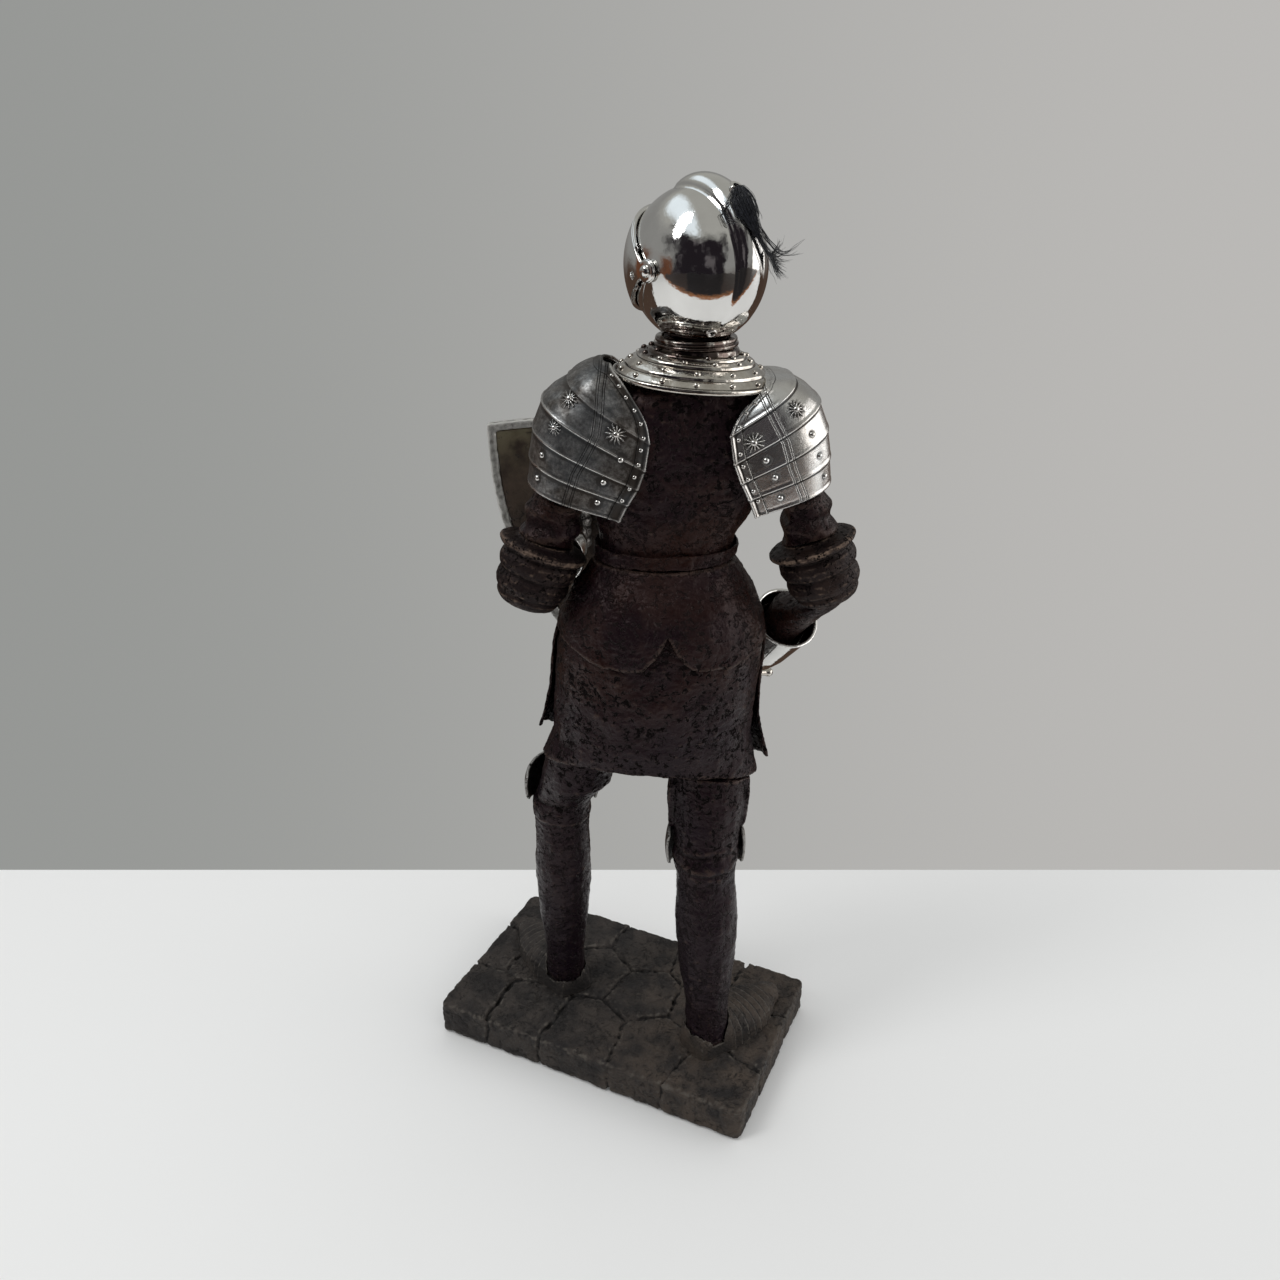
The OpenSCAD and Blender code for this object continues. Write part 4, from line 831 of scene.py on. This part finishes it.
# ---- Skull ----
# The helmet's skull is one polished plate drawn to an egg shape, with a broad comb
# raised over its back. It turns on the neck and carries the visor's pivots.
HELMET = MM @ Matrix.Translation((-28.356, -3.767, 352.517)) @ turn_by(65, "Z")
SKULL_R, SKULL_W = 26.0, 21.75
BROW, CHEEK = 36, -60
RIM_Z = -22.517
COMB_FROM, COMB_SWEEP, COMB_HEIGHT = 76, 150, 4.5


def about(x, angle, r):
    """A point at x across, at an angle in degrees about the pivots up from the face."""
    return Vector((x, -r * cos(radians(angle)), r * sin(radians(angle))))


def egg(r, w, keep, across=120):
    """Part of an egg about the pivots: keep(angle, distance from the axis) picks the faces."""
    bm = bmesh.new()
    bmesh.ops.create_uvsphere(bm, u_segments=180, v_segments=across, radius=1)
    gone = []
    for f in bm.faces:
        c = f.calc_center_median()
        angle = degrees(atan2(c.y, c.x)) % 360
        if not keep(angle, hypot(c.x, c.y) * r):
            gone.append(f)
    bmesh.ops.delete(bm, geom=gone, context="FACES")
    for v in bm.verts:
        v.co = Vector((v.co.z * w, -v.co.x * r, v.co.y * r))
    agree(bm)
    if sum(f.normal.dot(f.calc_center_median()) * f.calc_area() for f in bm.faces) < 0:
        reverse(bm)
    return bm


def all_of(bm):
    return [*bm.verts, *bm.edges, *bm.faces]


def cut_neck(bm):
    """Cuts the helmet off level at the neck."""
    bmesh.ops.bisect_plane(bm, geom=all_of(bm), dist=1e-5, plane_co=(0, 0, RIM_Z), plane_no=(0, 0, -1),
                           clear_outer=True)


def angle_of(p):
    return degrees(atan2(p.z, -p.y)) % 360


def comb_at(angle):
    """Height of the comb over the skull at that angle."""
    s = (angle - COMB_FROM) / COMB_SWEEP
    return COMB_HEIGHT * max(0.0, sin(pi * s ** 0.55)) ** 0.6 if 0 < s < 1 else 0.0


def tube(bm, path, radius, closed=False):
    """A round bar along a path, its ends capped, or a closed ring."""
    first = last = None
    for k, at in enumerate(path):
        ahead = path[(k + 1) % len(path) if closed else min(k + 1, len(path) - 1)]
        behind = path[k - 1 if closed else max(k - 1, 0)]
        turn = facing(at, ahead - behind)
        ring = bmesh.ops.create_circle(bm, cap_ends=not closed and k in (0, len(path) - 1), segments=10,
                                       radius=radius, matrix=turn)["verts"]
        edges = [e for v in ring for e in v.link_edges if e.other_vert(v) in ring]
        if last:
            bmesh.ops.bridge_loops(bm, edges=list(set(edges + last)))
        first = first or edges
        last = edges
    if closed:
        bmesh.ops.bridge_loops(bm, edges=list(set(first + last)))


COMB_HALF = 6.2
NAPE = Vector((6.6, 14.6, -19.8))
bm = egg(SKULL_R, SKULL_W, lambda angle, _: BROW < angle < 360 + CHEEK, 170)
low = SKULL_R * sqrt(1 - (COMB_HALF / SKULL_W) ** 2)
for v in bm.verts:
    angle = angle_of(v.co)
    x = abs(v.co.x) / COMB_HALF
    if x < 1 and comb_at(angle) > 0:
        comb = low + (SKULL_R - 0.3 + comb_at(angle) - low) * (1 - x * x) ** 0.52
        r = max(hypot(v.co.y, v.co.z), comb)
        v.co = about(v.co.x, angle, r)
cut_neck(bm)
soften(bm, [v for v in bm.verts if not v.is_boundary and abs(v.co.x) < 5])
bmesh.ops.delete(bm, geom=[f for f in bm.faces if (f.calc_center_median() - NAPE).length < 1.3],
                 context="FACES")
bm = walled(bm)
way = Vector((0.3, 0.62, -0.72)).normalized()
across = way.orthogonal().normalized()
seat = NAPE.normalized() * (NAPE.length + 0.1)
tube(bm, [seat + (across * cos(t) + way.cross(across) * sin(t)) * 1.55
          for t in np.linspace(0, 2 * pi, 20, endpoint=False)], 0.5, closed=True)
put(bm, HELMET)
piece("helmet_skull", bm, mirror_paint, "helmet", ["skull"], (5, 3.0))

black_paint, tree, shader = finish_of("black_core", Specular_IOR_Level=0.2)
speck = wander(place_on(tree), 900.0, 3.0)
surface(shader, blend(speck, (0.003, 0.003, 0.003), (0.009, 0.008, 0.008)),
        ramp(speck, 0.3, 0.7, 0.5, 0.8))
repaint("head_core", black_paint)

# ---- Bevor ----
# The chin plate closes the helmet under the visor. It is riveted to the skull at the
# sides and turns with it.
bm = egg(SKULL_R, SKULL_W, lambda angle, _: 300.6 < angle < 346)
cut_neck(bm)
bm = walled(bm)
put(bm, HELMET)
piece("helmet_bevor", bm, mirror_paint, "helmet", ["bevor"], (5, 3.0))

# ---- Visor ----
# A keeled visor with eye slits and rows of breaths. Its ears turn on the pivots, and its
# edges are rolled.
VISOR_R, VISOR_W = SKULL_R + 1.9, SKULL_W + 1.9
TIP = VISOR_R * 1.14
EAR_R, FLOWER_R = 3.6, 8.2
FAR = 99.0


def ray_to(lines, c, s):
    """Distance along (c, s) to the nearest of the lines, each given by two points."""
    best = FAR
    for (x0, y0), (x1, y1) in lines:
        d = c * (y1 - y0) - s * (x1 - x0)
        if abs(d) > 1e-9:
            t = (x0 * (y1 - y0) - y0 * (x1 - x0)) / d
            if t > 0:
                best = min(best, t)
    return best


def beak(x, angle):
    """How far out the keeled beak reaches there, or 0 beside it."""
    half = SKULL_W * 0.6
    c, s = cos(radians(angle)), sin(radians(angle))
    if c <= 0 or abs(x) >= half:
        return 0.0
    up, low = ((VISOR_R * cos(radians(a)), VISOR_R * sin(radians(a))) for a in (33, -37))
    nose, chin = (TIP, VISOR_R * 0.02), (TIP * 0.96, -VISOR_R * 0.2)
    r = min(ray_to([(up, nose)], c, s) if s > 0 else FAR, ray_to([(nose, chin)], c, s),
            ray_to([(chin, low)], c, s) if s < 0 else FAR)
    f = abs(x) / half
    r = min(r, (TIP - (TIP - VISOR_R * 0.8) * f) / c)
    top = VISOR_R * sin(radians(35)) * (1 - f) + VISOR_R * 0.02 * f
    bottom = VISOR_R * sin(radians(37)) * (1 - f) + VISOR_R * 0.2 * f
    return min(r, top / s if s > 1e-6 else FAR, -bottom / s if s < -1e-6 else FAR)


def pierced(bm, cutters):
    """The bmesh with the shapes in cutters taken out of it."""
    tools = shown("tools", cutters)
    bm = worked(bm, "BOOLEAN", operation="DIFFERENCE", solver="EXACT", object=tools)
    bpy.data.meshes.remove(tools.data)
    return bm


bm = egg(VISOR_R, VISOR_W, lambda angle, r: angle < 42 or angle > 320 or r < EAR_R)
for v in bm.verts:
    angle = angle_of(v.co)
    r = hypot(v.co.y, v.co.z)
    b = beak(v.co.x, angle)
    gap = max(1.6 - abs(r - b), 0) / 1.6
    v.co = about(v.co.x, angle, max(r, b) + gap * gap * 0.4 if b > 0 else r)
for _ in range(14):
    soften(bm, [v for v in bm.verts if not v.is_boundary and v.co.y < -8])
bm = walled(bm, 1.25)
cutters = bmesh.new()
for t in (1, -1):
    # A long eye slit and a row of breaths on each side of the keel
    bmesh.ops.create_cube(cutters, size=1, matrix=Matrix.Translation((t * 8.1, -28, SKULL_R * 0.3 + 0.9))
                          @ Matrix.Diagonal((13, 40, 1.8, 1)))
    for k in range(5):
        bmesh.ops.create_cone(cutters, cap_ends=True, segments=16, radius1=0.8, radius2=0.8, depth=40,
                              matrix=Matrix.Translation((t * (3 + k * 2.6), -30, -3.5 - (k % 2) * 3))
                              @ turn_by(90, "X"))
bm = pierced(bm, cutters)
ROLL = SKULL_R + 0.95
for a in (41.6, -39.6):
    for t in (1, -1):
        xs = [VISOR_W * cos(radians(u)) * t for u in range(90, 10, -3)]
        tube(bm, [about(x, a, ROLL * sqrt(max(0, 1 - (x / (SKULL_W + 0.95)) ** 2))) for x in xs
                  if abs(x) < SKULL_W], 0.6)
for t in (1, -1):
    tube(bm, [about(t * (SKULL_W + 1.1) * sqrt(1 - (EAR_R / ROLL) ** 2), a, EAR_R)
              for a in range(42, 324, 8)], 0.3)
    flower = Vector(about(t * (VISOR_W * sqrt(1 - (FLOWER_R / VISOR_R) ** 2)), -16, FLOWER_R))
    star(bm, flower, (flower.x / VISOR_W ** 2, flower.y / VISOR_R ** 2, flower.z / VISOR_R ** 2), 1.5, 8)
put(bm, HELMET)
piece("keeled_visor", bm, mirror_paint, "visor", ["visor"], (5, 3.0))

# ---- Pivots and ferrule ----
# Two plated pins with domed heads hold the visor, and a small plated ferrule in the
# comb holds the plume.
bm = turned(rounded([(0, -1.9), (1.9, -1.9), (2.1, -1.1), (2.0, -0.5), (1.7, 0.0), (1.1, 0.35),
                     (0.5, 0.5), (0, 0.5)], 1), 40)
put(bm, Matrix.Translation((VISOR_W + 0.9, 0, 0)) @ turn_by(90, "Y"))
bmesh.ops.mirror(bm, geom=all_of(bm), matrix=Matrix(), merge_dist=-1, axis="X")
agree(bm)
put(bm, HELMET)
piece("visor_pins", bm, mirror_paint, "helmet", ["visor_pivots"], (4, 3.0))
repaint("plume_holder", mirror_paint)

# ---- Plume ----
# A tail of blue-black hair rooted in the ferrule. It lies along the comb and falls to the
# right, with loose strands about it.
hair_paint, tree, shader = finish_of("plume_hair", Specular_IOR_Level=0.5, Anisotropic=0.4)
strand = wander(place_on(tree), 1400.0, 2.0)
surface(shader, blend(ramp(strand, 0.3, 0.7), (0.0035, 0.004, 0.006), (0.016, 0.018, 0.026)),
        ramp(strand, 0.3, 0.7, 0.3, 0.5))
STRANDS, KNOTS, ROOT = 380, 15, 123.5
draw = random.Random(11)
hair = bpy.data.curves.new("plume_hair", "CURVE")
hair.dimensions = "3D"
hair.bevel_depth = 0.00007
hair.bevel_resolution = 0
# Share of the tail, place across, angle, height above the crest, spread across, spread in height
TAIL = [(0, 0, ROOT, -0.5, 0.35, 0.1), (0.07, 0.6, 126, 1.2, 1.2, 0.4), (0.18, 1.9, 133, 1.0, 3.4, 0.7),
        (0.36, 2.2, 143, 0.9, 3.2, 0.8), (0.52, 1.4, 153, 0.9, 1.4, 0.5),
        (0.66, 0.2, 161, 1.0, 0.55, 0.35), (0.78, -2.2, 168, 1.6, 0.5, 0.4),
        (0.89, -5.4, 174, 2.6, 0.6, 0.6), (1.0, -8.6, 178, 4.2, 1.4, 1.1)]
for _ in range(STRANDS):
    kind = draw.random()
    stray, short = kind < 0.09, kind > 0.55
    reach = draw.uniform(0.24, 0.5) if short else draw.uniform(0.86, 1.06)
    side, high = draw.gauss(0, 0.5), abs(draw.gauss(0, 0.55))
    bend, lift = draw.uniform(-9, 4), draw.uniform(0.5, 4)
    phase, curl = draw.uniform(0, 6.28), draw.uniform(0.05, 0.25)
    points = []
    for j in range(KNOTS):
        s = reach * j / (KNOTS - 1)
        x, angle, r, wide, tall = (between([(row[0], row[c]) for row in TAIL], s) for c in range(1, 6))
        x += side * wide * (1.5 if short else 1) + curl * sin(phase + 9 * s)
        fall = max(0, 1 - (x / COMB_HALF) ** 2) ** 0.52
        r += SKULL_R + comb_at(ROOT if j == 0 else angle) * fall + high * tall
        if stray:
            x += bend * max(0, s - 0.3) ** 1.5 * 2
            r += lift * max(0, s - 0.25) ** 1.3
        if s > 0.8:
            x -= (s - 0.8) * 10 * draw.uniform(0.9, 1.1) * abs(side)
            angle += (s - 0.8) * bend * 9
        if short:
            r += 0.5 * sin(pi * j / (KNOTS - 1))
        if abs(x) > COMB_HALF and s < 0.7:
            r *= sqrt(max(0, 1 - (min(abs(x), 20) / SKULL_W) ** 2))
        points.append(HELMET @ about(x, angle, r))
    spline = hair.splines.new("POLY")
    spline.points.add(len(points) - 1)
    for point, q in zip(spline.points, points):
        point.co = (*q, 1)
        point.radius = 1.0
    spline.points[-1].radius = 0.3
hair.materials.append(hair_paint)
plume = bpy.data.objects.new("plume_strands", hair)
bpy.context.scene.collection.objects.link(plume)
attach(plume, "helmet")
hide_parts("plume")

# ---- Shield ----
# A heater shield seen from inside: a brown board, a bar for the hand, and a rim cast in
# pewter and rubbed bright.
board_paint, tree, shader = finish_of("brown_board", Specular_IOR_Level=0.35)
pits = use(tree, pitting, Size=1.3, Amount=0.3)
worn = use(tree, edge_wear, From=0.6, To=0.9)
height = along(place_on(tree), "Z")
colour = blend(ramp(pits["Tone"], 0.35, 0.7), (0.034, 0.022, 0.016), (0.085, 0.06, 0.043))
colour = blend(times(ramp(height, 0.262, 0.29), ramp(pits["Tone"], 0.35, 0.6)), colour,
               (0.15, 0.13, 0.08))
surface(shader, blend(times(pits["Pits"], 0.6), colour, (0.01, 0.007, 0.005)),
        ramp(pits["Grain"], 0.3, 0.7, 0.35, 0.6), times_plus(pits["Pits"], -0.5, pits["Grain"]), 0.0005)
cast("shield_face", ["shield_board"], board_paint, 0.6, 3, (8, 2.0),
     lambda p: 0.12 * noise(p * 0.25))

rim_paint, tree, shader = finish_of("rubbed_rim")
worn = use(tree, edge_wear, From=0.35, To=0.7)
pits = use(tree, pitting, Size=1.0, Amount=0.5)
mask = times(worn["Worn"], ramp(pits["Tone"], 0.3, 0.5))
fill(shader["Metallic"], times_plus(mask, 0.55, 0.3))
surface(shader, blend(mask, (0.13, 0.12, 0.105), (0.74, 0.73, 0.7)),
        ramp(pits["Grain"], 0.3, 0.7, 0.3, 0.55), pits["Grain"], 0.0005)
cast("shield_border", ["shield_rim"], rim_paint, 0.5, 3, (6, 2.0),
     lambda p: 0.18 * noise(p * 0.5))

leather_paint, tree, shader = finish_of("wrapped_leather", Specular_IOR_Level=0.35)
where = place_on(tree)
grain = node(tree, "TexVoronoi", {"Vector": where, "Scale": 1300.0}).outputs["Distance"]
tone = wander(where, 260.0, 4.0)
surface(shader, blend(tone, (0.022, 0.012, 0.007), (0.07, 0.038, 0.02)), ramp(tone, 0.3, 0.7, 0.4, 0.65),
        grain, 0.0003)
cast("shield_bar", ["shield_grip"], leather_paint, 0.4, 3, (6, 2.0))

# ---- Sword ----
# The sword stands point down in the right hand: a plain blade of ground steel, a plated
# straight guard with ball ends, a grip wrapped in leather and a turned pommel.
blade_paint, tree, shader = finish_of("ground_steel", Metallic=1.0)
where = node(tree, "VectorMath", {0: place_on(tree), 1: (1, 1, 0.08)},
             operation="MULTIPLY").outputs["Vector"]
ground = wander(where, 900.0, 4.0)
surface(shader, blend(ramp(ground, 0.3, 0.7), (0.5, 0.49, 0.48), (0.62, 0.615, 0.6)),
        ramp(ground, 0.3, 0.7, 0.24, 0.36), ground, 0.00004)
repaint("sword_blade", blade_paint)
repaint("sword_pommel", mirror_paint)
cast("sword_cross", ["sword_guard"], warm_plate_paint, 0.3, 4, (5, 2.0))
cast("sword_handle", ["sword_grip"], leather_paint, 0.35, 2, (5, 2.0))

# ---- Table, room and light ----
# A white table top whose far edge stands close behind the plinth, in a plain grey room
# with soft light from a window above on the left and from another on the right. Behind
# the camera the table carries a painted reflection of a dark room, seen only by polished surfaces.
table = bmesh.new()
TABLE_HALF, FAR_EDGE = 2.0, 0.516
bmesh.ops.create_grid(table, x_segments=1, y_segments=1, size=TABLE_HALF)
forward = Vector((-sin(LOOK), cos(LOOK), 0))
table_at = Vector((*camera.location.xy, 0)) + forward * (FAR_EDGE - TABLE_HALF)
put(table, Matrix.Translation(table_at) @ Matrix.Rotation(LOOK, 4, "Z"))
floor = shown("table_top", table)
right = Vector((cos(LOOK), sin(LOOK), 0))


def dot(place, way):
    made = node(place.id_data, "VectorMath", {0: place, 1: way}, operation="DOT_PRODUCT")
    return made.outputs["Value"]


table_paint, tree, shader = finish_of("table_white", Specular_IOR_Level=0.3)
near = dot(place_on(tree), -forward)
sideways = dot(place_on(tree), right)
aside = unsigned(plus(over(sideways, near), 0.2))
# Painted reflection: to glossy rays the table behind the camera shows a dark room, darkest in the middle,
# with a brown band just behind the camera
painted_reflection = blend(ramp(aside, 0.5, 0.62), (0.018, 0.015, 0.016), (0.045, 0.032, 0.028))
painted_reflection = blend(ramp(near, 0.56, 0.46), painted_reflection, (0.3, 0.12, 0.045))
painted_reflection_mask = times(ramp(near, 0.43, 0.435), node(tree, "LightPath").outputs["Is Glossy Ray"])
surface(shader, blend(painted_reflection_mask, (0.78, 0.78, 0.775), painted_reflection), 0.45)
floor.data.materials.append(table_paint)

world = bpy.data.worlds.new("room")
bpy.context.scene.world = world
world.use_nodes = True
tree = world.node_tree
background = tree.nodes["Background"]
toward = node(tree, "TexCoord").outputs["Generated"]
up = along(toward, "Z")
to_right = dot(toward, right)
to_front = dot(toward, -forward)
uneven = wander(toward, 3.0, 4.0)
shift = minus(uneven, 0.5)
level = times_plus(shift, 0.35, up)


EDGE = 0.14


def window_at(across, low, high, wide):
    """1 inside an upright opening in the room's walls, its edges soft."""
    inside = ramp(unsigned(minus(to_right, across)), wide, wide * 0.4)
    inside = times(inside, ramp(up, low, low + EDGE))
    return times(inside, ramp(up, high, high - EDGE))


beside = unsigned(times_plus(shift, 0.8, plus(to_right, 0.24)))
someone = times(ramp(beside, 0.74, 0.54), ramp(level, 0.76, 0.56))
someone = times(someone, ramp(to_front, 0.0, 0.1))
clothes = blend(ramp(uneven, 0.54, 0.66), (0.016, 0.013, 0.016), (0.11, 0.1, 0.105))
# What lights the dull surfaces is plainer and paler than what the polished ones show
plain = blend(ramp(up, -0.1, 0.6), (0.25, 0.24, 0.235), (0.86, 0.87, 0.87))
light_path = node(tree, "LightPath").outputs
room = layered(blend(ramp(level, -0.2, 0.05), (0.07, 0.045, 0.033), (0.27, 0.27, 0.262)),
               (ramp(level, 0.4, 0.7), (0.4, 0.4, 0.375)),
               (window_at(-0.93, -0.3, 0.2, 0.07), (0.13, 0.055, 0.03)),
               (someone, clothes),
               (window_at(-0.5, 0.6, 1.02, 0.26), (0.95, 1.05, 1.12)),
               (window_at(0.88, -0.25, 0.55, 0.15), (1.9, 1.85, 1.8)),
               (light_path["Is Diffuse Ray"], plain))
wall = blend(ramp(to_right, -0.6, 0.6), (0.3, 0.307, 0.297), (0.5, 0.49, 0.475))
rays = light_path["Is Camera Ray"]
fill(background.inputs["Color"], blend(rays, room, wall))
background.inputs["Strength"].default_value = 1.0


def softbox(name, at, look_at, size, energy):
    lamp = bpy.data.lights.new(name, "AREA")
    lamp.energy = energy
    lamp.shape = "ELLIPSE"
    lamp.size, lamp.size_y = size
    made = bpy.data.objects.new(name, lamp)
    made.location = at
    made.rotation_euler = (Vector(at) - Vector(look_at)).to_track_quat("Z", "Y").to_euler()
    bpy.context.scene.collection.objects.link(made)


middle = Vector((0, 0, 0.2))
softbox("window", middle - right * 0.66 - forward * 0.3 + Vector((0, 0, 1.0)), middle, (0.32, 0.8), 4.0)
softbox("right_window", middle + right * 1.3 - forward * 0.2 + Vector((0, 0, 0.35)), middle, (0.6, 0.9),
        1.7)
